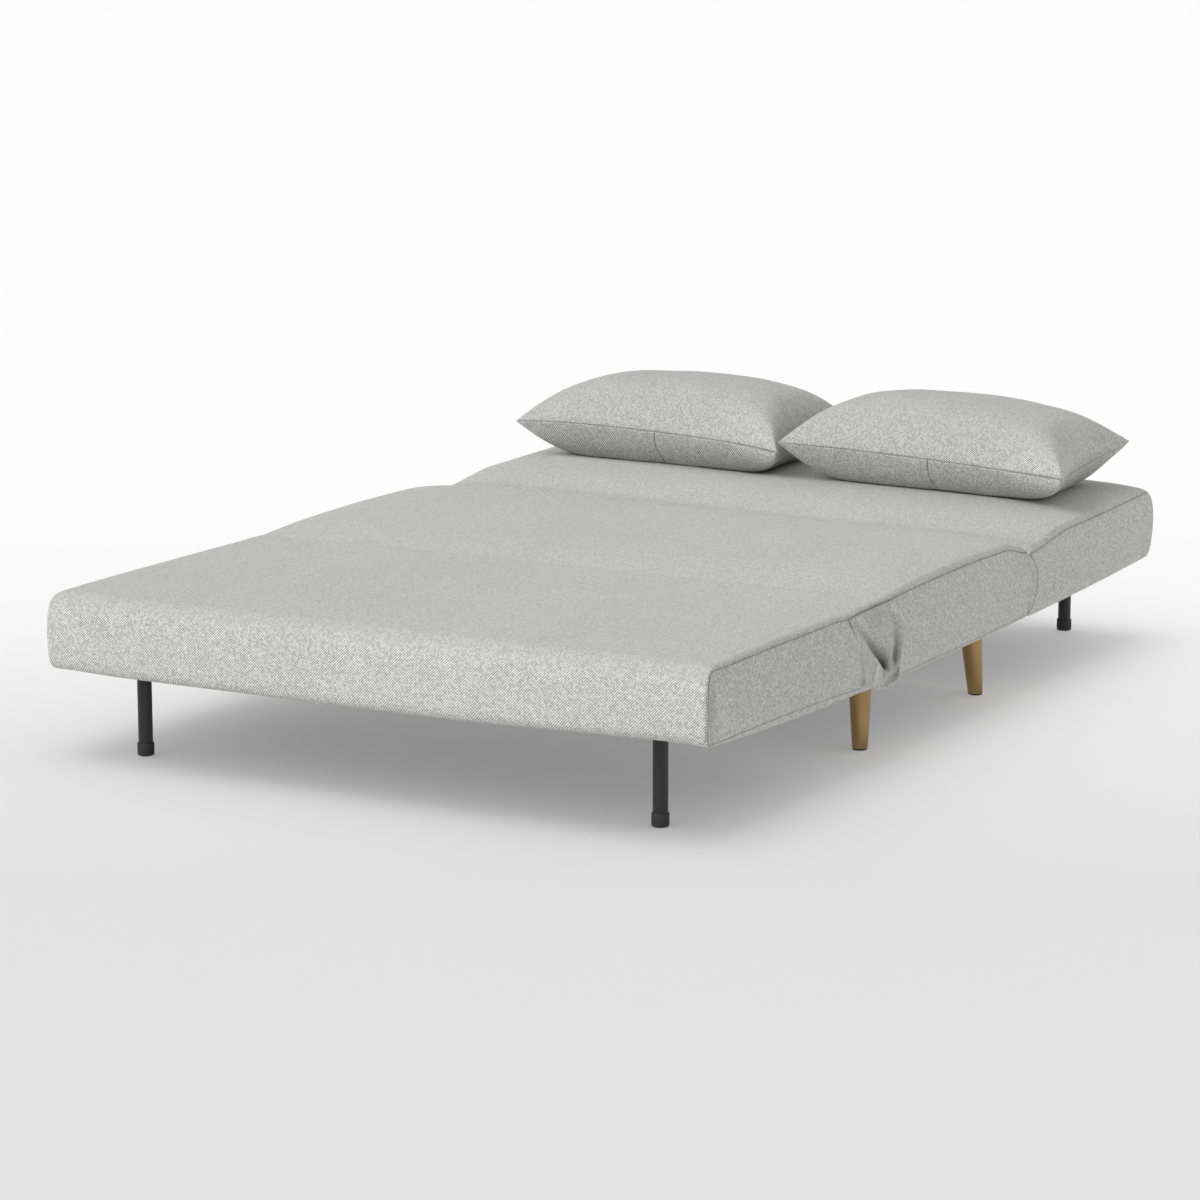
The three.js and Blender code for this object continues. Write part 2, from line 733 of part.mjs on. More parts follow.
add("front_cover", coverOf("front", [...frontSlots, ...legSlots(loops.front)], noCut, []), "fabric");
add("front_foam", foamOf("front", frontSlots, noCut), "foam");
add("front_underside_cloth", undersideCloth("front", legSlots(loops.front)), "lining");
add("seat_cover", coverOf("seat", [...seatSlots, ...fixedSlot], seatCut, bothSides(seatLip())), "fabric");
add("seat_foam", foamOf("seat", [...seatSlots, ...fixedBody], seatCut), "foam");
add("seat_underside_cloth", undersideCloth("seat", studHoles), "lining");
add("back_cover", coverOf("back", [...backHole, ...legSlots(loops.rear)], backCut, []), "fabric");
add(
  "back_foam",
  foamOf("back", [...movingPocket, ...backHole, rearRailPocket, loopPocket], backCut),
  "foam",
);
add("back_underside_cloth", undersideCloth("back", legSlots(loops.rear)), "lining");

// Brass legs and their glides
const legOrder = ["front", "rear"];
legTops.forEach((top, i) => {
  const height = undersideAt(sections.seat, top.y) - fit;
  const [footRadius, kneeRadius, topRadius] = brassLeg.radii;
  const knee = brassLeg.stations[1];
  const edge = 1;
  const studTop = sections.seat.frameBase + brassLeg.plateThickness + brassLeg.studRadius;
  const leg = turned(
    [
      [0, brassLeg.glideHeight],
      [footRadius - edge, brassLeg.glideHeight],
      [footRadius, brassLeg.glideHeight + edge],
      [kneeRadius, knee],
      [topRadius, height],
      [brassLeg.studRadius, height],
      [brassLeg.studRadius, studTop],
      [0, studTop],
    ],
    28,
  );
  const glide = turned(
    [
      [0, 0],
      [footRadius - 2 * edge, 0],
      [footRadius - edge, edge],
      [footRadius - edge, brassLeg.glideHeight - fit],
      [0, brassLeg.glideHeight - fit],
    ],
    28,
  );
  const legSolid = leaning(leg, top, height);
  const glideSolid = leaning(glide, top, height);
  eachSide((word, side) => {
    add(`brass_leg_${legOrder[i]}_${word}`, legSolid, "brass", side);
    add(`glide_${legOrder[i]}_${word}`, glideSolid, "rubber", side);
  });
});

// Leg loops and caps
for (const [name, one] of Object.entries(loops)) {
  add(`${name}_leg_loop`, legLoop(one), "tube");
  eachSide((word, side) => add(`${name}_leg_cap_${word}`, rubberCap(one.x, one.y), "rubber", side));
}

// Fold hinge arms; the pin is fixed in the seat's arm
const foldPin = barX(
  fold.pinRadius,
  [foldX.seat[1] - fit, foldX.front[1] + fit + fold.pinRadius],
  yFold,
  fold.height,
  16,
);
const frontArmBore = barX(
  fold.pinRadius + pivot.clearance,
  [foldX.front[0] - overrun, foldX.front[1] + overrun],
  yFold,
  fold.height,
  16,
);
const seatArm = foldArm(1, armTop("seat"), 0, foldX.seat).add(foldPin);
const frontArm = foldArm(-1, armTop("front"), 0, foldX.front).subtract(frontArmBore);
eachSide((word, side) => {
  add(`fold_hinge_seat_arm_${word}`, seatArm, "zinc", side);
  add(`fold_hinge_front_arm_${word}`, frontArm, "zinc", side);
});

// Click clack fitting: fixed plate with ratchet hub and pin, moving plate and pawl
function ratchetShape() {
  const shape = new THREE.Shape();
  const steps = 28;
  for (let i = 0; i < steps; i++) {
    const angle = (2 * Math.PI * i) / steps;
    const turn = (angle - fitting.notchStart) / (2 * fitting.notchWidth);
    const notched = turn > 0 && turn < fitting.notchCount && turn % 1 < 1 / 2;
    const radius = fitting.ratchetRadius - (notched ? fitting.notchDepth : 0);
    const point = [pivot.y + radius * Math.cos(angle), pivot.height + radius * Math.sin(angle)];
    if (i) shape.lineTo(...point);
    else shape.moveTo(...point);
  }
  shape.closePath();
  return shape;
}

const pinInner = fitting.movingX[0] - fit - fitting.headThickness;
const fixedPlate = joined([
  plateX(fixedPlateShape(0), fitting.fixedX),
  plateX(circle(new THREE.Shape(), pivot.y, pivot.height, fitting.fixedEye), fitting.fixedX, 12),
  plateX(ratchetShape(), [fitting.movingX[1] + fit, fitting.fixedX[0] + fit]),
  barX(pivot.pinRadius, [pinInner, fitting.fixedX[0]], pivot.y, pivot.height, 20),
  barX(fitting.headRadius, [pinInner, pinInner + fitting.headThickness], pivot.y, pivot.height, 20),
]);

function movingPlate() {
  const [near, far] = fitting.movingFoot;
  const foot = sections.back.frameBase + fitting.footLift;
  const top = sections.back.frameBase + rail.height - fitting.footLift / 2;
  const shape = new THREE.Shape();
  shape.moveTo(pivot.y - fitting.movingEye, pivot.height);
  shape.lineTo(pivot.y + near, foot);
  shape.lineTo(pivot.y + far, foot);
  shape.lineTo(pivot.y + far, top);
  shape.lineTo(pawl.y + pawl.boss, pawl.z + pawl.boss);
  shape.lineTo(pivot.y, pivot.height + fitting.movingEye);
  shape.closePath();
  const eye = circle(new THREE.Shape(), pivot.y, pivot.height, fitting.movingEye);
  const bore = barX(
    pivot.pinRadius + pivot.clearance,
    [fitting.movingX[0] - overrun, fitting.movingX[1] + overrun],
    pivot.y,
    pivot.height,
    20,
  );
  const stud = barX(pawl.studRadius, [fitting.movingX[0], pawl.x[1]], pawl.y, pawl.z, 16);
  const body = plateX(shape, fitting.movingX).add(plateX(eye, fitting.movingX, 12));
  return body.subtract(bore).add(stud);
}

function pawlSolid() {
  const reach = Math.hypot(...pawl.at) - fitting.ratchetRadius - pawl.tipClearance;
  const angle = Math.atan2(-pawl.at[1], -pawl.at[0]);
  const finger = new THREE.BoxGeometry(pawl.thickness, reach, pawl.finger);
  finger.translate((pawl.x[0] + pawl.x[1]) / 2, reach / 2, 0).rotateX(angle).translate(0, pawl.y, pawl.z);
  const boss = plateX(circle(new THREE.Shape(), pawl.y, pawl.z, pawl.boss), pawl.x, 8);
  const bore = barX(pawl.studRadius + pivot.clearance, [pawl.x[0] - overrun, pawl.x[1] + overrun], pawl.y, pawl.z, 16);
  return joined([boss, solidOf(finger)]).subtract(bore);
}

const movingPlateSolid = movingPlate();
const pawlMade = pawlSolid();
eachSide((word, side) => {
  add(`click_clack_fixed_plate_${word}`, fixedPlate, "zinc", side);
  add(`click_clack_moving_plate_${word}`, movingPlateSolid, "zinc", side);
  add(`click_clack_pawl_${word}`, pawlMade, "zinc", side);
});

// Gathered fabric over each side of the fold: a pleated sheet, narrow and drooping at the bottom
const gather = {
  clearance: 0.4,
  centre: 5,
  halfTop: 120,
  halfBottom: 60,
  top: 309,
  bottom: 149,
  sheet: 2,
  bulge: 9,
  pleat: 3.5,
  pleats: 3.5,
  columns: 16,
  rows: 6,
};

function gatherSolid() {
  const point = (i, k, outer) => {
    const across = (2 * i) / gather.columns - 1;
    const down = k / gather.rows;
    const half = lerp(gather.halfTop, gather.halfBottom, down);
    const arch = (1 - across ** 2) * Math.sin(Math.PI * Math.sqrt(down) * 0.97);
    const wave = (1 + Math.cos(2 * Math.PI * gather.pleats * across)) / 2;
    const out = gather.sheet + arch * (gather.bulge + gather.pleat * wave);
    const droop = (gather.top - gather.bottom) * down * (1 - 0.12 * across ** 2);
    return [halfWidth + gather.clearance + (outer ? out : 0), yFold + gather.centre + across * half, gather.top - droop];
  };
  const corners = [];
  const quad = (a, b, c, d) => [a, b, c, a, c, d].forEach((p) => corners.push(...p));
  for (let i = 0; i < gather.columns; i++) {
    for (let k = 0; k < gather.rows; k++) {
      quad(point(i, k, true), point(i, k + 1, true), point(i + 1, k + 1, true), point(i + 1, k, true));
      quad(point(i, k, false), point(i + 1, k, false), point(i + 1, k + 1, false), point(i, k + 1, false));
    }
    quad(point(i, 0, false), point(i, 0, true), point(i + 1, 0, true), point(i + 1, 0, false));
    const k = gather.rows;
    quad(point(i, k, true), point(i, k, false), point(i + 1, k, false), point(i + 1, k, true));
  }
  for (let k = 0; k < gather.rows; k++) {
    quad(point(0, k, false), point(0, k + 1, false), point(0, k + 1, true), point(0, k, true));
    const i = gather.columns;
    quad(point(i, k, true), point(i, k + 1, true), point(i, k + 1, false), point(i, k, false));
  }
  const geometry = new THREE.BufferGeometry();
  return solidOf(geometry.setAttribute("position", new THREE.Float32BufferAttribute(corners, 3)));
}

const gatherMade = gatherSolid();
eachSide((word, side) => add(`fold_gather_${word}`, gatherMade, "fabric", side));

// Pillows: plump knife-edged covers with drawn-in sides, flat where they lie on the back
const pillow = {
  length: bedWidth * 0.486,
  depth: 400,
  upper: 118,
  lower: 68,
  seam: 3,
  draw: 26,
  wall: 2,
  slitLength: 420,
  slitHeight: 1.2,
  ringShares: [1, 0.93, 0.8, 0.6, 0.35],
  sideShares: [0, 0.12, 0.3, 0.5, 0.7, 0.88],
  places: [
    { name: "left", share: -0.5176, turn: -0.06, back: pillowOverhang },
    { name: "right", share: 0.476, turn: -0.075, back: -6 },
  ],
};

function pillowSolid(inset, flat) {
  const halfX = pillow.length / 2 - inset;
  const halfY = pillow.depth / 2 - inset;
  const outline = [];
  const corners = [
    [-1, -1],
    [1, -1],
    [1, 1],
    [-1, 1],
  ];
  corners.forEach(([u, v], i) => {
    const [nextU, nextV] = corners[(i + 1) % corners.length];
    for (const share of pillow.sideShares) outline.push([lerp(u, nextU, share), lerp(v, nextV, share)]);
  });
  const swell = (u, v) => (1 - u ** 4) ** (1 / 2) * (1 - v ** 4) ** (1 / 2);
  const ring = (share, height) =>
    outline.map(([a, b]) => {
      const [u, v] = [a * share, b * share];
      const x = u * (halfX - pillow.draw * (1 - v ** 2) * u ** 2);
      const y = v * (halfY - pillow.draw * (1 - u ** 2) * v ** 2);
      return [x, y, height(swell(u, v))];
    });
  const up = (s) => pillow.seam / 2 + (pillow.upper - inset - pillow.seam / 2) * s;
  const down = (s) => -pillow.seam / 2 - (pillow.lower * flat - inset - pillow.seam / 2) * s;
  const low = (s) => Math.max(down(s), inset - pillow.lower);
  const rings = pillow.ringShares.toReversed().map((share) => ring(share, low));
  rings.push(...pillow.ringShares.map((share) => ring(share, up)));
  return ringSolid(rings, [0, 0, low(1)], [0, 0, up(1)]);
}

const flatShare = 1.12;
const restUnder = 0.55;
for (const place of pillow.places) {
  place.x = halfWidth * place.share;
  const lay = (geometry, y, z) => solidOf(geometry.clone().rotateZ(place.turn).translate(place.x, y, z));
  const outer = pillowSolid(0, flatShare);
  const box = new THREE.Box3().setFromObject(new THREE.Mesh(outer.clone().rotateZ(place.turn)));
  const y = yHead + place.back - box.max.y;
  let under = 0;
  for (const u of [-1, -0.5, 0, 0.5, 1]) {
    for (const v of [-1, -0.5, 0, 0.5, 1]) {
      const x = place.x + (restUnder * u * pillow.length) / 2;
      under = Math.max(under, topAt(sections.back, x, y + (restUnder * v * pillow.depth) / 2));
    }
  }
  const z = under + pillow.lower + fit;
  const slit = block(
    [-pillow.slitLength / 2, pillow.slitLength / 2],
    [0, pillow.depth],
    [-pillow.slitHeight / 2, pillow.slitHeight / 2],
  );
  const slitPlaced = lay(geometryOf(slit), y, z);
  const shell = lay(outer, y, z).subtract(lay(pillowSolid(pillow.wall, flatShare), y, z));
  add(`pillow_cover_${place.name}`, shell.subtract(slitPlaced), "fabric");
  add(`pillow_pad_${place.name}`, lay(pillowSolid(pillow.wall + fit, flatShare), y, z), "filling");
}

export default bed;
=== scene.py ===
"""Dresses the frame of a click clack sofa bed: padded sections, pillows, legs, fittings and the stage."""

import math
import bmesh
import bpy
from bpy.props import FloatProperty, FloatVectorProperty, PointerProperty
from mathutils import Matrix, Vector, noise


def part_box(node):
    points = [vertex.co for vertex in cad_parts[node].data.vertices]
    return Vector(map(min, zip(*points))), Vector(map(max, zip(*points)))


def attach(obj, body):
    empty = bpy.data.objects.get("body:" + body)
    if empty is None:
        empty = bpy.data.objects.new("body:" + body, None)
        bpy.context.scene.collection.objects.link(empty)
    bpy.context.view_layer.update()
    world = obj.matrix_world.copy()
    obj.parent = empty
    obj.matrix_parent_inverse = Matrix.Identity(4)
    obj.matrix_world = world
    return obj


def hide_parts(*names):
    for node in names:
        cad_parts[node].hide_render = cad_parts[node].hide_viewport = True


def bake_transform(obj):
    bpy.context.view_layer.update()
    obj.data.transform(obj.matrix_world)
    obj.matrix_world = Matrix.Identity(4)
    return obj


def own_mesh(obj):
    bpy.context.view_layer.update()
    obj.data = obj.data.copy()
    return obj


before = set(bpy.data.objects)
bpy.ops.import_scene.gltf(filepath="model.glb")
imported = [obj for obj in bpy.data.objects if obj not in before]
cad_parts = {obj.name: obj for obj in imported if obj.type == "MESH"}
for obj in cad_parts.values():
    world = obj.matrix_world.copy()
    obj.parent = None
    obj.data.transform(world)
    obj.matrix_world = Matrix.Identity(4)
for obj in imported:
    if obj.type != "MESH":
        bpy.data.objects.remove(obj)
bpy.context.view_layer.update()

bl_info = {
    "name": "Click clack sofa bed",
    "version": (1, 0, 0),
    "blender": (4, 5, 0),
    "location": "View3D > Sidebar > Sofa bed",
    "description": "Makes the fabric, pillows, legs and fittings of a click clack sofa bed around its frame",
    "category": "Object",
}

# Lengthwise places of the frame, in metres
FRONT_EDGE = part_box("front_cover")[0].y
FOLD = (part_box("front_cover")[1].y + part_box("seat_cover")[0].y) / 2
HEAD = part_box("back_cover")[1].y
HALF_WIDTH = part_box("seat_cover")[1].x
PILLOW_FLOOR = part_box("pillow_cover_left")[0].z

# The hinge between seat and back. The seat's end is scooped out round it, and the back's side is dished.
PIVOT = Vector((0, 0.4065, 0.24))
SEAT_TO_PIVOT = 0.063
BACK_TO_PIVOT = 0.050
SCOOP_RADIUS = 0.0755
DISH = {"depth": 0.0046, "flat": 0.079, "rim": 0.128}

# Edges and seams of the padded sections
FOLD_CLEARANCE = 0.0015
SEAM_RADIUS = 0.009
SEAM_DEPTH = 0.0078
HEM_RADIUS = 0.006
HEM_WIDTH = 0.046
SIDE_BOW = 0.004

SIDES = (("left", -1), ("right", 1))

# Points closer than this are one point
MERGE = 1e-5

# The three padded sections. A pair holds the value at the end nearest the front and at the other end.
# The top's edge is at rim, higher by bow in the middle and by lift on the left. Between its sides the top
# rises by crown, less the shares in drop near its ends, and it sags at its ends, by a share of that in
# the middle. The hem droops below the underside. The end faces lean and bulge, and their edges are round.
SECTIONS = {
    "front": {
        "ends": (FRONT_EDGE, FOLD - FOLD_CLEARANCE),
        "underside": (0.178, 0.162),
        "droop": (0.002, 0.009, 0.006),
        "rim": (0.3185, 0.3195),
        "bow": 0.001,
        "lift": (0, 0.002),
        "crown": 0.009,
        "drop": (0.9, 0.1),
        "crown_ramp": 0.16,
        "sag": (0, 0),
        "sag_ramp": 0.1,
        "middle_sag": 1,
        "top_radii": (0.032, 0.004),
        "bottom_radii": (0.022, 0.008),
        "lean": 0.005,
        "bulge": (0.006, 0),
        "corner": (0.008, 0.004),
        "ceiling": 0.2186,
        "opening": (HEM_WIDTH, HEM_WIDTH),
        "stitch": (0.006, 0.017, 0.009),
    },
    "seat": {
        "ends": (FOLD + FOLD_CLEARANCE, PIVOT.y - SEAT_TO_PIVOT),
        "underside": (0.156, 0.168),
        "droop": (0.003, 0.006, 0.006),
        "rim": (0.3185, 0.325),
        "bow": 0.009,
        "lift": (0.002, 0.007),
        "crown": 0.019,
        "drop": (0.8, 0.35),
        "crown_ramp": 0.16,
        "sag": (0, 0.018),
        "sag_ramp": 0.12,
        "middle_sag": 0.45,
        "top_radii": (0.004, 0.014),
        "bottom_radii": (0.008, 0.010),
        "lean": 0,
        "bulge": (0, 0),
        "corner": (0.004, 0.004),
        "ceiling": 0.2086,
        "opening": (HEM_WIDTH, HEM_WIDTH),
        "stitch": (0.008, 0.008, 0.008),
    },
    "back": {
        "ends": (PIVOT.y - BACK_TO_PIVOT, HEAD),
        "underside": (0.170, 0.181),
        "droop": (0.009, 0.007, 0.001),
        "rim": (0.318, 0.335),
        "bow": 0,
        "lift": (0.015, 0.013),
        "crown": 0.020,
        "drop": (0.3, 0.4),
        "crown_ramp": 0.16,
        "sag": (0.016, 0),
        "sag_ramp": 0.20,
        "middle_sag": 0.95,
        "top_radii": (0.022, 0.046),
        "bottom_radii": (0.010, 0.020),
        "lean": 0,
        "bulge": (0, 0.015),
        "corner": (0.006, 0.016),
        "ceiling": 0.2216,
        "opening": (HEM_WIDTH, 0.0095),
        "stitch": None,
    },
}

# The seat's side panel reaches back over the hinge: (lengthwise place, height) down its edge
LIP_EDGE = (
    (0.345, 0.292),
    (0.368, 0.274),
    (0.384, 0.255),
    (0.389, 0.235),
    (0.386, 0.213),
    (0.376, 0.194),
    (0.360, 0.178),
    (0.338, 0.169),
)

# The pillows: how far each is turned, in radians, its half sizes, and its shift to the right. Corners are
# the seam's heights at the front left, front right, rear left and rear right, and lift raises it between.
# The right end's top is higher by skew, the whole top by top, and push moves the near right corner out.
# Folds are places across the right end and their depths, and flap is the place of the closure line.
PILLOWS = {
    "left": {
        "turn": -0.06,
        "half": (0.336, 0.2),
        "shift": 0.009,
        "corners": (0.080, 0.063, 0.084, 0.080),
        "lift": 0.0175,
        "skew": 0.007,
        "top": 0,
        "push": 0.025,
        "folds": ((-0.25, 0.003),),
        "flap": 0.034,
        "seed": 2.0,
    },
    "right": {
        "turn": -0.075,
        "half": (0.334, 0.2),
        "shift": -0.010,
        "corners": (0.085, 0.063, 0.090, 0.094),
        "lift": 0.002,
        "skew": -0.004,
        "top": 0.003,
        "push": 0.034,
        "folds": ((-0.5, 0.006), (-0.25, 0.003)),
        "flap": 0.02,
        "seed": 9.0,
    },
}


def box_middle(node):
    low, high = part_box(node)
    return (low + high) / 2


PILLOW_MIDDLES = {word: box_middle(f"pillow_cover_{word}").xy for word in PILLOWS}

# Leg loops: where each one stands and hangs
LOOPS = {
    "front": {"x": 0.56, "y": FRONT_EDGE + 0.1047, "z": 0.1955, "turn": 1, "body": "front_legs"},
    "rear": {"x": 0.5175, "y": HEAD - 0.028, "z": 0.2035, "turn": -1, "body": "rear_legs"},
}
TUBE_RADIUS = 0.014
CAP_RADIUS = 0.0163
# The slots for folded legs in the underside cloths: half a slot's width, and its room past the cap
LEG_SLOT = 0.019
SLOT_CLEARANCE = 0.004

# Where the brass legs meet the floor, and which way lengthwise they splay
BRASS_FEET = {"front": (0.615, FOLD + 0.1305, -1), "rear": (0.612, 0.3045, 1)}


def share(low, high, value):
    """How far a value has come from low to high, from 0 to 1."""
    return min(max((value - low) / (high - low), 0), 1)


def rise(amount):
    """The same way from 0 to 1, with a soft start and end."""
    amount = min(max(amount, 0), 1)
    return amount * amount * (3 - 2 * amount)


def mix(pair, amount):
    return pair[0] + (pair[1] - pair[0]) * amount


def bell(distance, width):
    """1 at no distance, and next to nothing past twice the width."""
    return math.exp(-((distance / width) ** 2))


def bells(forms, place):
    """The sum of several bells, each of a height, a middle and a width."""
    return sum(height * bell(place - middle, width) for height, middle, width in forms)


def round_back(radius, depth):
    """How far an edge of that radius draws back, at a depth from its face."""
    if depth >= radius:
        return 0
    return radius - math.sqrt(radius * radius - (radius - depth) ** 2)


# Settings that a user would change


class SOFA_FabricSettings(bpy.types.PropertyGroup):
    light_yarn: FloatVectorProperty(
        name="Light yarn",
        description="Colour of the raised yarns",
        subtype="COLOR",
        default=(0.95, 0.95, 0.935),
    )
    # Partly the weave's own pattern, partly painted shade in the gaps between the yarns
    yarn_gap_tone_and_shade: FloatVectorProperty(
        name="Dark yarn",
        description="Colour between the yarns",
        subtype="COLOR",
        default=(0.12, 0.12, 0.117),
    )
    # The seam colour also draws the painted shadow line on the back past the seat's lip
    seam: FloatVectorProperty(
        name="Seam",
        description="Colour in the depth of a seam",
        subtype="COLOR",
        default=(0.075, 0.075, 0.07),
    )
    pitch: FloatProperty(
        name="Weave pitch",
        description="Width of one cell of the weave",
        unit="LENGTH",
        default=0.0037,
        min=0.001,
    )
    wave: FloatProperty(
        name="Waviness",
        description="Height of the soft waves in the cloth",
        unit="LENGTH",
        default=0.0012,
        min=0,
    )


class SOFA_PillowSettings(bpy.types.PropertyGroup):
    pressure: FloatProperty(name="Pressure", description="Pressure that plumps a pillow", default=4.0, min=0)
    most_swell: FloatProperty(
        name="Most swell",
        description="The furthest a point may move",
        unit="LENGTH",
        default=0.004,
        min=0,
    )
    draw: FloatProperty(
        name="Draw",
        description="How far the sides pull in between corners",
        unit="LENGTH",
        default=0.026,
        min=0,
    )


class SOFA_MetalSettings(bpy.types.PropertyGroup):
    brass: FloatVectorProperty(
        name="Brass",
        description="Colour of the brass legs",
        subtype="COLOR",
        default=(0.35, 0.228, 0.098),
    )
    black: FloatVectorProperty(
        name="Black coat",
        description="Colour of the black tubes",
        subtype="COLOR",
        default=(0.012, 0.012, 0.0125),
    )
    zinc: FloatVectorProperty(
        name="Zinc",
        description="Colour of the plated fittings",
        subtype="COLOR",
        default=(0.55, 0.56, 0.57),
    )


class SOFA_StageSettings(bpy.types.PropertyGroup):
    key: FloatProperty(name="Key light", description="Strength of the soft key light", default=1.9, min=0)
    floor_key: FloatProperty(
        name="Floor light",
        description="Strength of the shadowless light on the floor",
        default=1.5,
        min=0,
    )
    floor_top: FloatProperty(
        name="Floor top light",
        description="Strength of the light straight down on the floor",
        default=0.5,
        min=0,
    )
    sky: FloatProperty(
        name="Sky light",
        description="Strength of the light from all round",
        default=0.6,
        min=0,
    )
    floor: FloatProperty(
        name="Floor tone",
        description="How light the floor paper is",
        default=0.95,
        min=0,
        max=1,
    )


# Materials


class Signal:
    """One socket of a material, on which shader sums are written as plain expressions."""

    def __init__(self, finish, socket):
        self.finish = finish
        self.socket = socket

    def _sum(self, operation, *values):
        return self.finish.node("ShaderNodeMath", {"operation": operation}, dict(enumerate(values)))

    def __add__(self, other):
        return self._sum("ADD", self, other)

    def __sub__(self, other):
        return self._sum("SUBTRACT", self, other)

    def __mul__(self, other):
        return self._sum("MULTIPLY", self, other)

    def __truediv__(self, other):
        return self._sum("DIVIDE", self, other)

    def __gt__(self, other):
        return self._sum("GREATER_THAN", self, other)

    def __lt__(self, other):
        return self._sum("LESS_THAN", self, other)

    def __rsub__(self, other):
        return self._sum("SUBTRACT", other, self)

    def __abs__(self):
        return self._sum("ABSOLUTE", self)

    __radd__ = __add__
    __rmul__ = __mul__

    def sine(self):
        return self._sum("SINE", self)

    def floor(self):
        return self._sum("FLOOR", self)

    def fraction(self):
        return self._sum("FRACT", self)

    def clamp(self):
        return self.finish.node("ShaderNodeClamp", {}, {"Value": self})

    def band(self, width):
        """1 on the line where this value is 0, fading to 0 at that width."""
        return (1 - abs(self) / width).clamp()


class Finish:
    """A node material under construction."""

    def __init__(self, name, roughness, metallic=0.0):
        self.material = bpy.data.materials.new(name)
        self.material.use_nodes = True
        self.tree = self.material.node_tree
        self.shader = self.tree.nodes["Principled BSDF"]
        self.shader.inputs["Roughness"].default_value = roughness
        self.shader.inputs["Metallic"].default_value = metallic

    def node(self, kind, settings, values, output=0):
        node = self.tree.nodes.new(kind)
        for key, value in settings.items():
            if key == "stops":
                self._stops(node.color_ramp, value)
            else:
                setattr(node, key, value)
        for key, value in values.items():
            self.feed(node.inputs[key], value)
        return Signal(self, node.outputs[output])

    def _stops(self, ramp, stops):
        while len(ramp.elements) < len(stops):
            ramp.elements.new(1.0)
        for element, (place, colour) in zip(ramp.elements, stops):
            element.position = place
            element.color = (*colour, 1)

    def feed(self, socket, value):
        if isinstance(value, Signal):
            self.tree.links.new(value.socket, socket)
        else:
            socket.default_value = value

    def set(self, name, value):
        self.feed(self.shader.inputs[name], value)

    def place(self, output="Object"):
        node = self.tree.nodes.new("ShaderNodeTexCoord")
        return Signal(self, node.outputs[output])

    def split(self, vector):
        node = self.tree.nodes.new("ShaderNodeSeparateXYZ")
        self.tree.links.new(vector.socket, node.inputs[0])
        return [Signal(self, output) for output in node.outputs]

    def join(self, x, y, z):
        return self.node("ShaderNodeCombineXYZ", {}, {0: x, 1: y, 2: z})

    def attribute(self, name):
        return self.node("ShaderNodeAttribute", {"attribute_name": name}, {}, output="Fac")

    def noise(self, where, scale, detail=2.0):
        return self.node("ShaderNodeTexNoise", {}, {"Vector": where, "Scale": scale, "Detail": detail})

    def grain(self, stretch, scale, detail):
        """Noise drawn out by a different amount along each axis."""
        where = self.node("ShaderNodeMapping", {}, {"Vector": self.place(), "Scale": stretch})
        return self.noise(where, scale, detail)

    def blend(self, amount, first, second, kind="MIX"):
        """Mixes two colours. The Mix node's colour sockets share their names, so they go by number."""
        node = self.tree.nodes.new("ShaderNodeMix")
        node.data_type = "RGBA"
        node.blend_type = kind
        for socket, value in ((node.inputs[0], amount), (node.inputs[6], first), (node.inputs[7], second)):
            if not isinstance(value, Signal) and hasattr(value, "__len__"):
                value = (*value[:3], 1)
            self.feed(socket, value)
        return Signal(self, node.outputs[2])

    def bump(self, height, strength, distance):
        return self.node("ShaderNodeBump", {}, {"Strength": strength, "Distance": distance, "Height": height})


# Beyond these parts of its normal, cloth counts as facing sideways or endways
SIDE_FACING = 0.68
END_FACING = 0.72

# Half widths of the sewn lines and of the grooves that they lie in, and how far each wanders
PANEL_LINE, PANEL_GROOVE, PANEL_WANDER = 0.0013, 0.0042, 0.0016
HEM_LINE, HEM_GROOVE, HEM_WANDER = 0.0019, 0.004, 0.001
PILLOW_LINE, PILLOW_GROOVE = 0.0011, 0.003
FLAP_LINE, FLAP_GROOVE = 0.0021, 0.004

# The hem's stitches, and the fainter line beside the closure
STITCH_PITCH = 0.0062
STITCH_SHARE = 0.72
FLAP_SECOND = 0.019
FLAP_SECOND_LINE = 0.0014


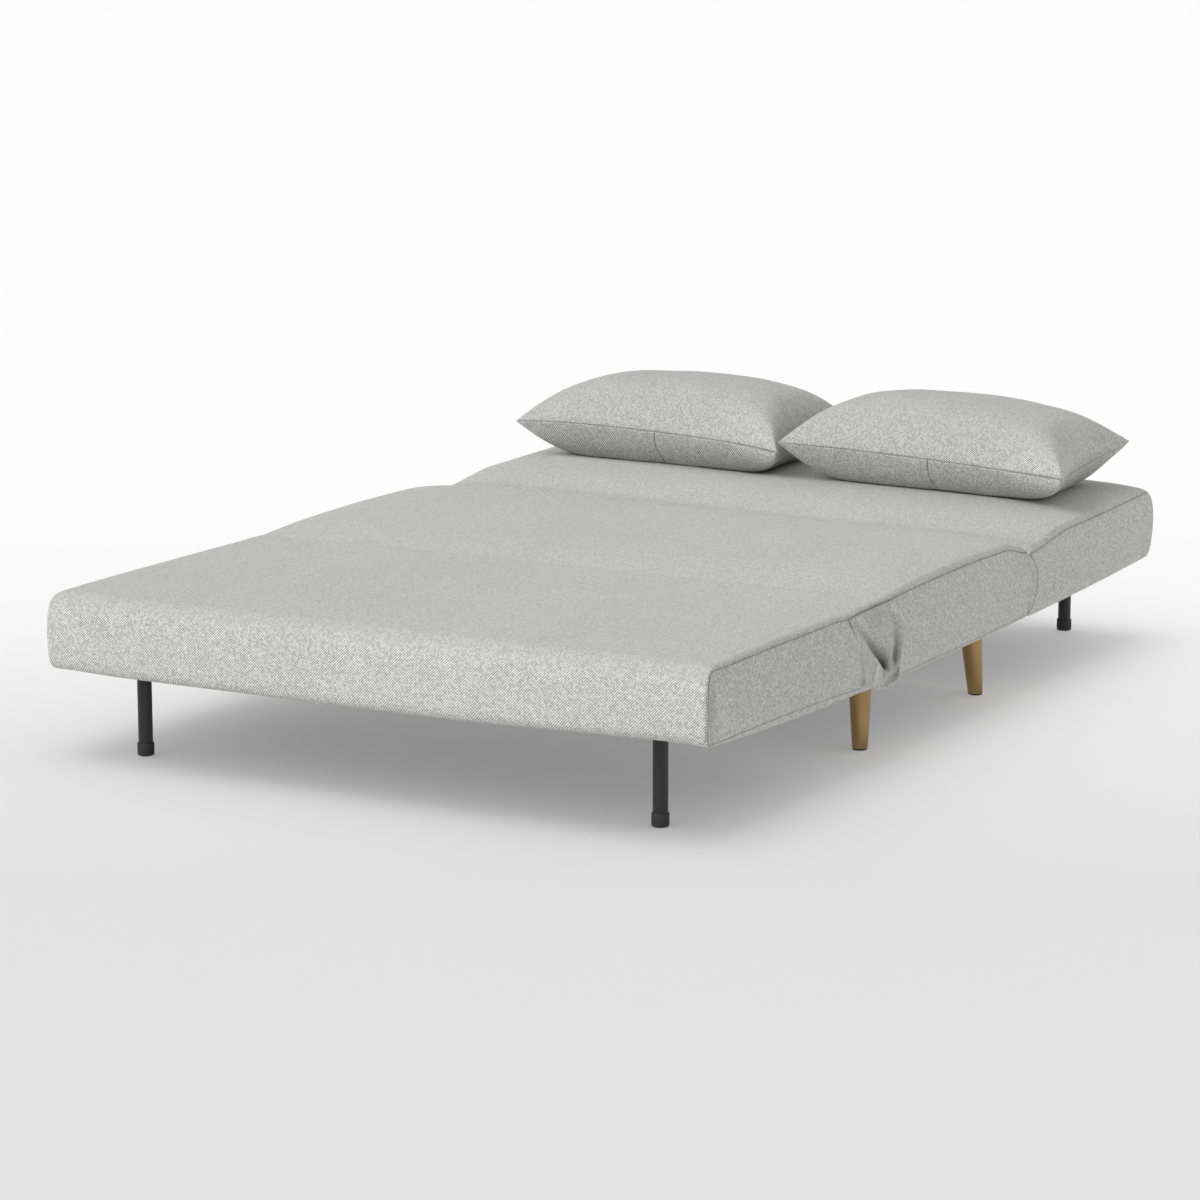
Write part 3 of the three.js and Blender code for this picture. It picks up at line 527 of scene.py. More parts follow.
def woven(name, colours, seams):
    """Coarse diagonal weave of light yarns, laid flat on whichever way the cloth faces."""
    finish = Finish(name, roughness=0.92)
    spot = finish.split(finish.place())
    facing = finish.split(finish.place("Normal"))
    on_side = abs(facing[0]) > SIDE_FACING
    on_end = abs(facing[1]) > END_FACING
    across = spot[0] + on_side * (spot[1] - spot[0])
    along = spot[1] + (on_side + on_end).clamp() * (spot[2] - spot[1])
    drift = finish.noise(finish.place(), 5.0) * 0.3
    diagonal = colours.pitch * math.sqrt(2)
    ribs = (across - along) / diagonal + drift
    steps = (across + along) / (diagonal * 0.8) + drift
    yarn = (ribs.fraction() * math.pi).sine() * ((steps.fraction() * math.pi).sine() * 0.55 + 0.45)
    cell_place = finish.join(ribs.floor(), steps.floor(), on_side)
    cell = finish.node("ShaderNodeTexWhiteNoise", {}, {"Vector": cell_place})
    fuzz = finish.noise(finish.place(), 800.0, detail=1.0)
    cloud = finish.noise(finish.place(), 3.2, detail=3.0)
    # Painted light: on faces turned up the weave's contrast is painted lower, as light from above fills the
    # gaps between the yarns
    flat = ((facing[2] - 0.2) * 2.0).clamp()
    level = (yarn * 0.9 + (cell - 0.5) * 0.3 - 0.36) * (1 - flat * 0.4) + (fuzz - 0.5) * 0.8 + 0.4
    # The weave's dark is partly painted shade in the gaps between the yarns
    colour = finish.blend(level.clamp(), colours.yarn_gap_tone_and_shade, colours.light_yarn)
    # Slow clouds of tone, and the painted shade (painted light where it is below 0) that each piece keeps in
    # its shade attribute
    shade = ((cloud - 0.5) * 0.1 + 1.0) * (1 - finish.attribute("shade"))
    colour = finish.blend(1.0, colour, finish.join(shade, shade, shade), "MULTIPLY")
    height = yarn * 0.8 + cell * 0.25 + fuzz * 0.5
    for seam in seams:
        line, groove = seam(finish)
        colour = finish.blend((line * 0.9).clamp(), colour, colours.seam)
        height = height - groove * 4.0
    finish.set("Base Color", colour)
    finish.set("Normal", finish.bump(height, strength=0.42, distance=0.0011))
    finish.set("Sheen Weight", 0.12)
    finish.set("Sheen Roughness", 0.5)
    return finish.material


def panel_seam(finish):
    """The sewn line round a side panel, and the narrow shade beside it."""
    distance = finish.attribute("seam") + (finish.noise(finish.place(), 55.0) - 0.5) * PANEL_WANDER
    return distance.band(PANEL_LINE), distance.band(PANEL_GROOVE)


def hem_stitches(finish):
    """The row of stitches above the hem."""
    distance = finish.attribute("hem") + (finish.noise(finish.place(), 40.0) - 0.5) * HEM_WANDER
    spot = finish.split(finish.place())
    stitch = ((spot[1] / STITCH_PITCH).fraction() < STITCH_SHARE) * 0.85
    return distance.band(HEM_LINE) * stitch, distance.band(HEM_GROOVE) * 0.6


def pillow_seam(finish):
    """The closed seam round a pillow."""
    distance = finish.attribute("seam")
    return distance.band(PILLOW_LINE) * 0.75, distance.band(PILLOW_GROOVE) * 0.5


def flap_seam(finish):
    """The closure line across a pillow's lower face, with a fainter one beside it."""
    distance = finish.attribute("flap")
    second = (distance + FLAP_SECOND).band(FLAP_SECOND_LINE) * 0.4
    return distance.band(FLAP_LINE) * 0.95 + second, distance.band(FLAP_GROOVE)


def coated(name, colour, roughness):
    """Powder coat: one colour with a fine orange-peel surface."""
    finish = Finish(name, roughness)
    peel = finish.noise(finish.place(), 900.0)
    wear = finish.noise(finish.place(), 30.0, detail=3.0)
    worn = [channel * 1.7 for channel in colour]
    finish.set("Base Color", finish.blend(wear * 0.35, colour, worn))
    finish.set("Roughness", wear * 0.16 + (roughness - 0.08))
    finish.set("Normal", finish.bump(peel, strength=0.25, distance=0.0002))
    return finish.material


def brushed(name, colour, roughness, along_z=True):
    """Brushed metal with fine lines along its length and soft tarnish."""
    finish = Finish(name, roughness, metallic=1.0)
    fine, drawn_out = 900.0, 14.0
    lines = finish.grain((fine, fine, drawn_out) if along_z else (fine, drawn_out, fine), 1.0, 2.0)
    tarnish = finish.noise(finish.place(), 26.0, detail=4.0)
    dull = [channel * 0.62 for channel in colour]
    bright = [min(channel * 1.25, 1) for channel in colour]
    tint = finish.blend(((tarnish - 0.42) * 2.2).clamp() * 0.5, colour, dull)
    finish.set("Base Color", finish.blend(lines * 0.3, tint, bright))
    finish.set("Roughness", lines * 0.16 + tarnish * 0.1 + (roughness - 0.13))
    finish.set("Normal", finish.bump(lines, strength=0.12, distance=0.0002))
    return finish.material


def beech(name):
    """Pale slat wood with long grain."""
    finish = Finish(name, roughness=0.55)
    grain = finish.grain((60.0, 3.0, 60.0), 2.0, 5.0)
    pores = finish.noise(finish.place(), 600.0)
    base = finish.blend(grain, (0.62, 0.43, 0.24), (0.75, 0.58, 0.37))
    finish.set("Base Color", finish.blend(((pores - 0.55) * 4.0).clamp() * 0.4, base, (0.4, 0.26, 0.14)))
    finish.set("Normal", finish.bump(grain + pores * 0.3, strength=0.2, distance=0.0003))
    return finish.material


def rubbery(name):
    """Black rubber or plastic with light scuffs."""
    finish = Finish(name, roughness=0.72)
    scuff = finish.noise(finish.place(), 120.0, detail=3.0)
    finish.set("Base Color", finish.blend(scuff, (0.014, 0.014, 0.014), (0.035, 0.035, 0.034)))
    finish.set("Roughness", scuff * 0.25 + 0.55)
    finish.set("Normal", finish.bump(scuff, strength=0.2, distance=0.0003))
    return finish.material


def felted(name):
    """Black non-woven dust cloth with its pressed dot pattern."""
    finish = Finish(name, roughness=0.95)
    spot = finish.split(finish.place())
    # The dots' pitch is a turn of the sine at this many radians to the metre
    rate = 1800.0
    dots = ((spot[0] * rate).sine() * (spot[1] * rate).sine()) > 0.55
    fibres = finish.noise(finish.place(), 700.0, detail=4.0)
    colour = finish.blend(fibres, (0.012, 0.012, 0.013), (0.045, 0.045, 0.047))
    finish.set("Base Color", finish.blend(dots * 0.5, colour, (0.008, 0.008, 0.008)))
    finish.set("Normal", finish.bump(fibres - dots * 0.6, strength=0.35, distance=0.0004))
    return finish.material


# Making and placing of pieces


def settle(name, mesh, material, body=None, smooth=True):
    """A finished bmesh as a piece that rides on a body, with its place in its mesh."""
    data = bpy.data.meshes.new(name)
    mesh.to_mesh(data)
    mesh.free()
    data.materials.append(material)
    data.polygons.foreach_set("use_smooth", [smooth] * len(data.polygons))
    piece = bpy.data.objects.new(name, data)
    bpy.context.scene.collection.objects.link(piece)
    if body:
        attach(piece, body)
    return piece


def subdivided(piece):
    modifier = piece.modifiers.new("Smooth", "SUBSURF")
    modifier.levels = 1
    modifier.render_levels = 1
    return piece


def thickened(piece, thickness, offset):
    modifier = piece.modifiers.new("Thickness", "SOLIDIFY")
    modifier.thickness = thickness
    modifier.offset = offset
    return piece


def crisp(piece, angle=math.radians(32)):
    """Smooth shading that keeps the true edges."""
    piece.data.shade_smooth()
    piece.data.set_sharp_from_angle(angle=angle)


def float_layers(mesh, *names):
    return [mesh.verts.layers.float.new(name) for name in names]


def parts_of(made, kind):
    """The vertices or the edges among what an operator made."""
    return [part for part in made if isinstance(part, kind)]


def everything(mesh):
    return mesh.verts[:] + mesh.edges[:] + mesh.faces[:]


def cloth_area(mesh):
    return sum(face.calc_area() for face in mesh.faces)


def face_way(mesh, way):
    """Turns the faces of an open cloth so that they look along way as a whole."""
    bmesh.ops.recalc_face_normals(mesh, faces=mesh.faces)
    if sum(face.normal.dot(way) * face.calc_area() for face in mesh.faces) < 0:
        bmesh.ops.reverse_faces(mesh, faces=mesh.faces)


def turned(outline, steps):
    """A solid turned round the upright axis, from (radius, height) points that start and end on it."""
    mesh = bmesh.new()
    points = [mesh.verts.new((radius, 0, z)) for radius, z in outline]
    edges = [mesh.edges.new(pair) for pair in zip(points, points[1:])]
    bmesh.ops.spin(
        mesh,
        geom=points + edges,
        cent=(0, 0, 0),
        axis=(0, 0, 1),
        angle=2 * math.pi,
        steps=steps,
        use_merge=True,
    )
    bmesh.ops.remove_doubles(mesh, verts=mesh.verts, dist=MERGE)
    return mesh


def lattice_block(counts):
    """A cube from -1 to 1 whose faces carry a regular grid of quads."""
    mesh = bmesh.new()
    bmesh.ops.create_cube(mesh, size=2)
    for axis, count in enumerate(counts):
        if count < 2:
            continue
        rest = [k for k in range(3) if k != axis]
        edges = [
            edge
            for edge in mesh.edges
            if all(abs(edge.verts[0].co[k] - edge.verts[1].co[k]) < 1e-6 for k in rest)
        ]
        bmesh.ops.subdivide_edges(mesh, edges=edges, cuts=count - 1, use_grid_fill=True)
    return mesh


def stations(low, high, near, step):
    """Places from low to high, close together near both ends."""
    inner = high - low - 2 * near[-1]
    count = max(round(inner / step), 1)
    middle = [low + near[-1] + inner * i / count for i in range(1, count)]
    return [low + d for d in near] + middle + [high - d for d in reversed(near)]


# How the padded tops are shaped: the roundness of crown and sag across them, the stretch over which the
# left side lifts, and the dip at the fold's right end
CROWN_POWER = 10
SAG_POWER = 6
LIFT_RUN = (0.35, -0.65)
FOLD_DIP = {"depth": 0.005, "y": -0.505, "width": 0.03, "from": 0.6, "to": 0.7}

# The pillows press the back down to just under them, fading over this distance inside their edge
PRESS_FADE = 0.06
PRESS_CLEARANCE = 0.001


def top_height(section, x, y):
    """Height of the padded top at a place, before its edges round over."""
    start, end = section["ends"]
    along = share(start, end, y)
    ramp = section["crown_ramp"]
    near = section["drop"][0] * (1 - rise((y - start) / ramp))
    far = section["drop"][1] * (1 - rise((end - y) / ramp))
    outward = min(abs(x) / HALF_WIDTH, 1)
    sag = section["sag"][0] * (1 - rise((y - start) / section["sag_ramp"]))
    sag += section["sag"][1] * (1 - rise((end - y) / section["sag_ramp"]))
    sag *= mix((section["middle_sag"], 1), outward**SAG_POWER)
    high = mix(section["rim"], along) + section["bow"] * (1 - (2 * along - 1) ** 2)
    high += section["crown"] * (1 - outward**CROWN_POWER) * (1 - near - far) - sag
    high += mix(section["lift"], along) * rise(share(*LIFT_RUN, x))
    dip = FOLD_DIP
    high -= dip["depth"] * bell(y - dip["y"], dip["width"]) * share(dip["from"], dip["to"], x)
    return min(high, high + (PILLOW_FLOOR - PRESS_CLEARANCE - high) * under_pillow(x, y))


def under_pillow(x, y):
    """1 where a pillow presses on the top, fading to 0 at its edge."""
    pressed = 0
    if y < PIVOT.y:
        return 0
    for word, pillow in PILLOWS.items():
        spot = Matrix.Rotation(-pillow["turn"], 2) @ (Vector((x, y)) - PILLOW_MIDDLES[word])
        inside = min(pillow["half"][0] - abs(spot.x), pillow["half"][1] - abs(spot.y))
        pressed = max(pressed, rise(share(0, PRESS_FADE, inside)))
    return pressed


def through_three(values, amount):
    """A smooth run through three values, at 0, 0.5 and 1."""
    first, middle, last = values
    return (
        first * (1 - amount) * (1 - 2 * amount)
        + middle * 4 * amount * (1 - amount)
        + last * amount * (2 * amount - 1)
    )


def along_points(points, amount):
    """The place at a share of the way down a run of points, turned smoothly at each."""
    spot = share(0, 1, amount) * (len(points) - 1)
    index = min(int(spot), len(points) - 2)
    part = spot - index
    run = [Vector(points[min(max(index + k, 0), len(points) - 1)]) for k in (-1, 0, 1, 2)]
    first = (run[2] - run[0]) / 2
    last = (run[3] - run[1]) / 2
    return (
        run[1] * (2 * part**3 - 3 * part**2 + 1)
        + first * (part**3 - 2 * part**2 + part)
        + run[2] * (3 * part**2 - 2 * part**3)
        + last * (part**3 - part**2)
    )


def off_line(points, place):
    """Signed distance of a place from a run of points, and how far along it that is."""
    best = (1.0, 0.0)
    for index, (first, last) in enumerate(zip(points, points[1:])):
        run = Vector(last) - Vector(first)
        away = place - Vector(first)
        part = min(max(away.dot(run) / run.length_squared, 0), 1)
        gap = away - run * part
        side = 1 if run.x * away.y - run.y * away.x >= 0 else -1
        if gap.length < abs(best[0]):
            best = (side * gap.length, (index + part) / (len(points) - 1))
    return best


def soft_wave(place, size, seed):
    return noise.noise(Vector((place[0] / size, place[1] / size, place[2] / size + seed)))


class SOFA_OT_sections(bpy.types.Operator):
    """Makes the padded front, seat and back with their sewn side panels"""

    bl_idname = "sofa_bed.sections"
    bl_label = "Padded sections"

    # Places of the mesh's columns beside each edge, and the step between them further in
    near_steps = (0, 0.0031, 0.007, 0.012, 0.018, 0.026, 0.038, 0.055, 0.078)
    step = 0.026
    # Its levels: depths below the top, heights above the underside, and shares of the height between
    depths_below = (0, 0.0016, 0.005, 0.0095, 0.016, 0.025, 0.036, 0.05)
    heights_above = (0, 0.002, 0.006, 0.012, 0.02, 0.032, 0.05)
    middle_shares = (0.42, 0.5, 0.58)
    # Past this, a point of the block from -1 to 1 lies on its face
    at_face = 0.999
    # Lengths of the soft waves in the cloth
    broad_wave = 0.16
    fine_wave = 0.07
    wave_fade = 0.03

    lip_steps = 40
    lip_outline = []
    # How far past the seat's end the side panel has to reach to be drawn out
    lip_gap = 0.0015
    # Where the lines run: a sewn line before the seat's lip, a painted shadow line on the back past it, and a
    # sewn line behind the front's corner
    lip_seam = 0.0065
    lip_shadow_line = 0.0105
    corner_seam = 0.0035

    # The front edge's hem hangs by this much in its middle, and less towards each end: (less, from x, to x)
    front_hang = 0.0105
    hang_ends = ((0.0105, 0.12, 0.66), (0.003, -0.55, -0.68))

    # Hollows and swells of the side panels, as (height, middle, width): the front's first ones start
    # from its end, the others lie lengthwise on the bed
    front_end_forms = ((-0.0075, 0.021, 0.013), (0.002, 0.085, 0.035))
    front_forms = ((0.002, -0.52, 0.06),)
    seat_forms = ((0.0015, -0.02, 0.16),)

    # Painted shade, in the same form: behind the front's end (with painted light on the swell past it),
    # before the seat's lip, and in the crease between seat and back, from each one's end
    front_shades = ((0.2, 0.016, 0.012), (-0.07, 0.045, 0.016))
    lip_shades = ((0.15, 0.022, 0.009),)
    seat_crease = ((0.02, 0, 0.012),)
    back_crease = ((0.11, 0, 0.02),)
    # The share of the height over which the crease's painted shade comes in
    crease_run = (0.72, 0.92)

    # The fold strip: how it is divided, how far it reaches from the fold, the share of its half width
    # that lies flat, how far it turns down beside that, and how its ends sink into the tops
    strip_columns = 120
    strip_rows = 12
    strip_reach = 0.046
    strip_flat_share = 0.94
    strip_turn = math.radians(66)
    strip_inset = 0.004
    strip_stand = 0.0009
    strip_sink = 0.004
    strip_thickness = 0.0008

    def execute(self, context):
        fabric = context.scene.sofa_fabric
        self.lip_outline = [
            along_points(LIP_EDGE, step / self.lip_steps) for step in range(self.lip_steps + 1)
        ]
        cloth = woven("section_fabric", fabric, (panel_seam, hem_stitches))
        for seed, (name, section) in enumerate(SECTIONS.items()):
            self.section(name, section, cloth, fabric.wave, seed)
        self.fold_strip(cloth)
        return {"FINISHED"}

    def section(self, name, section, cloth, wave, seed):
        start, end = section["ends"]
        across = stations(-HALF_WIDTH, HALF_WIDTH, self.near_steps, self.step)
        along = stations(start, end, self.near_steps, self.step)
        height = section["rim"][0] - section["underside"][0]
        below = [1 - d / height for d in self.depths_below]
        above = [d / height for d in self.heights_above]
        levels = sorted([*above, *self.middle_shares, *below])
        places = (across, along, levels)
        counts = [len(place) - 1 for place in places]
        mesh = lattice_block(counts)
        self.hollow(mesh, section, places, counts)
        seam, hem, shade = float_layers(mesh, "seam", "hem", "shade")
        for vertex in mesh.verts:
            self.shape(vertex, section, places, counts, (seam, hem, shade), wave, seed, name)
        bmesh.ops.recalc_face_normals(mesh, faces=mesh.faces)
        piece = subdivided(settle(f"{name}_padding", mesh, cloth, name))
        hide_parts(f"{name}_cover", f"{name}_foam")
        if name == "front":
            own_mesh(piece)

    def index(self, value, count):
        return (value + 1) / 2 * count

    def hollow(self, mesh, section, places, counts):
        """Opens the underside, where the frame and the folded legs go."""
        across, along, _ = places
        start, end = section["ends"]
        edge_x = HALF_WIDTH - HEM_WIDTH

        def inside(face):
            spot = face.calc_center_median()
            if face.normal.z > -0.5:
                return False
            i = self.index(spot.x, counts[0])
            k = self.index(spot.y, counts[1])
            x = (across[int(i)] + across[min(int(i) + 1, counts[0])]) / 2
            y = (along[int(k)] + along[min(int(k) + 1, counts[1])]) / 2
            return abs(x) < edge_x and start + section["opening"][0] < y < end - section["opening"][1]

        mesh.normal_update()
        faces = [face for face in mesh.faces if inside(face)]
        made = bmesh.ops.extrude_face_region(mesh, geom=faces)
        raised = parts_of(made["geom"], bmesh.types.BMVert)
        bmesh.ops.delete(mesh, geom=faces, context="FACES")
        # Any height inside the block marks them, and the hollow's ceiling is set with the rest
        bmesh.ops.translate(mesh, verts=raised, vec=(0, 0, 0.5))

    def droop(self, section, name, x0, y0):
        """How far the hem hangs below the frame at a place of the lower edge."""
        start, end = section["ends"]
        inward = HALF_WIDTH - abs(x0)
        fall = through_three(section["droop"], share(start, end, y0)) * (1 - rise(inward / HEM_WIDTH))
        if name == "front":
            less = sum(most * rise(share(first, last, x0)) for most, first, last in self.hang_ends)
            fall = max(fall, (self.front_hang - less) * (1 - rise((y0 - start) / HEM_WIDTH)))
        return fall

    def shape(self, vertex, section, places, counts, layers, wave, seed, name):
        """Moves a point of the block to its place in the section, and marks its seams and painted shade."""
        across, along, levels = places
        start, end = section["ends"]
        middle = (start + end) / 2
        u, v, w = vertex.co
        x0 = across[round(self.index(u, counts[0]))]
        y0 = along[round(self.index(v, counts[1]))]
        side, tip, flat = (abs(part) >= self.at_face for part in (u, v, w))
        raised = not (side or tip or flat)
        level = 0 if raised else levels[round(self.index(w, counts[2]))]
        low = mix(section["underside"], share(start, end, y0)) - self.droop(section, name, x0, y0)
        high = top_height(section, x0, y0)
        above = (high - low) * level
        below = (high - low) * (1 - level)
        full = 1 - (2 * level - 1) ** 2
        x, y, ring = self.plan_place(section, x0, y0, level, above, below)
        z = section["ceiling"] if raised else low + above
        if not raised and level > self.at_face:
            z = top_height(section, x, y)
        if not raised:
            gentle = wave * self.waves((x, y, z), seed)
            if side and not flat:
                x += math.copysign(1, x) * (gentle + self.side_form(section, name, y0, level))
            elif tip and not flat:
                y += math.copysign(1, y - middle) * gentle * 1.3
            elif w > self.at_face:
                edge = min(HALF_WIDTH - abs(x0), y0 - start, end - y0)
                z += gentle * share(0, self.wave_fade, edge)
        if name == "seat" and not raised:
            y = self.scooped(x0, y0, y, z, v > self.at_face, end)
        if name == "back":
            x = self.dished(x, y, z)
        vertex.co = (x, y, z)
        seam, hem, shade = layers
        inward = HALF_WIDTH - abs(x0)
        vertex[seam] = self.to_seam(name, start, y0, y, z, below, inward)
        vertex[hem] = 1.0
        if section["stitch"] and (side or ring > self.at_face):
            vertex[hem] = above - through_three(section["stitch"], share(start, end, y0)) + 20 * inward
        # Painted shade in the crease and on the side panels
        dark = self.crease_shade(section, name, y0) * rise(share(*self.crease_run, level))
        if side and 1 - self.at_face < level < self.at_face:
            dark += self.panel_shade(section, name, y, z) * full
        vertex[shade] = dark

    def plan_place(self, section, x0, y0, level, above, below):
        """Where a point lies seen from above, once edges round over, and the share of the way out there."""
        start, end = section["ends"]
        middle = (start + end) / 2
        half = (end - start) / 2
        full = 1 - (2 * level - 1) ** 2
        top, bottom = section["top_radii"], section["bottom_radii"]
        sides = round_back(SEAM_RADIUS, below) + round_back(HEM_RADIUS, above) + SIDE_BOW * (1 - full)
        front = round_back(top[0], below) + round_back(bottom[0], above)
        front += section["lean"] * level - section["bulge"][0] * full
        rear = round_back(top[1], below) + round_back(bottom[1], above) - section["bulge"][1] * full
        draw = front if y0 < middle else rear
        x = x0 * (HALF_WIDTH - sides) / HALF_WIDTH
        y = middle + (y0 - middle) * (half - draw) / half
        # The corners of each level turn in one small arc
        ring = max(abs(x0) / HALF_WIDTH, abs(y0 - middle) / half)
        radius = section["corner"][0 if y0 < middle else 1] * ring
        most_x = (HALF_WIDTH - sides) * ring - radius
        most_y = (half - draw) * ring - radius
        out_x = abs(x) - most_x
        out_y = abs(y - middle) - most_y
        if out_x > 0 and out_y > 0:
            long = math.hypot(out_x, out_y)
            x = math.copysign(most_x + radius * out_x / long, x)
            y = middle + math.copysign(most_y + radius * out_y / long, y - middle)
        return x, y, ring

    def waves(self, place, seed):
        return soft_wave(place, self.broad_wave, seed) + 0.6 * soft_wave(place, self.fine_wave, seed + 7)

    def to_seam(self, name, start, y0, y, z, below, inward):
        """Signed distance from the side panel's nearest line, scaled down where the line is broader: sewn
        lines, and on the back a painted shadow line just past the seat's lip.
        """
        lines = [below - SEAM_DEPTH - inward]
        if name == "front":
            lines.append((y0 - start - self.corner_seam - inward) * 0.6)
        if name == "seat":
            fading = 0.1 * rise(share(0.262, 0.285, z))
            lines.append((self.lip_reach(z) - y - self.lip_seam) * 0.8 + fading)
        if name == "back":
            # Painted shadow: the dark line on the back just past the seat's lip
            lines.append((y - self.lip_reach(z) - self.lip_shadow_line) * 0.45)
        return min(lines)

    def crease_shade(self, section, name, y):
        """Painted shade in the crease between the seat and the back, where little light reaches."""
        if name == "back":
            return bells(self.back_crease, y - section["ends"][0])
        if name == "seat":
            return bells(self.seat_crease, section["ends"][1] - y)
        return 0.0

    def panel_shade(self, section, name, y, z):
        """Painted shade on the side panel where it sinks behind its corner seam and before its rear lip, and
        painted light on the front's swell.
        """
        if name == "front":
            return bells(self.front_shades, y - section["ends"][0])
        if name == "seat":
            return bells(self.lip_shades, self.lip_reach(z) - y)
        return 0.0

    def scooped(self, x0, y0, y, z, at_end, end):
        """The seat's end is hollow round the hinge, and its side panels reach back over it."""
        if HALF_WIDTH - abs(x0) < self.near_steps[1] + MERGE:
            reach = self.lip_reach(z) - end - self.lip_gap
            return y + max(0, reach) * share(end - self.near_steps[-1], end, y0) ** 1.5
        if at_end and abs(z - PIVOT.z) < SCOOP_RADIUS:
            return min(y, PIVOT.y - math.sqrt(SCOOP_RADIUS**2 - (z - PIVOT.z) ** 2))
        return y

    def lip_reach(self, z):
        """How far back the seat's side panel reaches at a height."""
        for upper, lower in zip(self.lip_outline, self.lip_outline[1:]):
            if lower.y <= z <= upper.y:
                return mix((lower.x, upper.x), share(lower.y, upper.y, z))
        return LIP_EDGE[0 if z > PIVOT.z else -1][0]

    def side_form(self, section, name, y, level):
        """The side panel sinks behind its corner seam, then fills out."""
        form = 0
        if name == "front":
            form = bells(self.front_end_forms, y - section["ends"][0]) + bells(self.front_forms, y)
        if name == "seat":
            form = bells(self.seat_forms, y)
        return form * math.sin(math.pi * share(0, 1, level)) ** 0.7

    def dished(self, x, y, z):
        """The round recess that lets the back turn past the seat's lip."""
        from_pivot = math.hypot(y - PIVOT.y, z - PIVOT.z)
        slope = DISH["depth"] / (DISH["rim"] - DISH["flat"])
        limit = HALF_WIDTH - DISH["depth"] + max(0, from_pivot - DISH["flat"]) * slope
        return math.copysign(min(abs(x), limit), x)

    def fold_strip(self, cloth):
        """The tops join in one cloth, which runs over the gap at the fold."""
        mesh = bmesh.new()
        bmesh.ops.create_grid(mesh, x_segments=self.strip_columns, y_segments=self.strip_rows, size=1)
        for vertex in mesh.verts:
            vertex.co = self.strip_place(vertex.co.x, vertex.co.y)
        face_way(mesh, Vector((0, 0, 1)))
        # It carries no seam of its own, so its points lie far from any
        seam, hem, _ = float_layers(mesh, "seam", "hem", "shade")
        for vertex in mesh.verts:
            vertex[seam] = 1.0
            vertex[hem] = 1.0
        area = cloth_area(mesh)
        reach = self.strip_reach
        piece = thickened(settle("fold_strip", mesh, cloth), self.strip_thickness, -1)
        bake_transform(piece)
        area / (2 * reach)

    def strip_place(self, u, v):
        """A point of the strip: on both tops, sunk into them at its ends and turned down at the sides."""
        front, seat = SECTIONS["front"], SECTIONS["seat"]
        y = FOLD + v * self.strip_reach
        turn = share(self.strip_flat_share, 1, abs(u)) * self.strip_turn
        x = min(abs(u) / self.strip_flat_share, 1) * (HALF_WIDTH - SEAM_RADIUS - SIDE_BOW)
        near = top_height(front, math.copysign(x, u), min(y, front["ends"][1] - self.strip_inset))
        far = top_height(seat, math.copysign(x, u), max(y, seat["ends"][0] + self.strip_inset))
        stand = self.strip_stand - self.strip_sink * rise(share(0.4, 1, abs(v)))
        x += (SEAM_RADIUS + stand) * math.sin(turn)
        top = mix((near, far), rise(share(-0.5, 0.5, v)))
        z = top + stand - (SEAM_RADIUS + stand) * (1 - math.cos(turn))
        return math.copysign(x, u), y, z


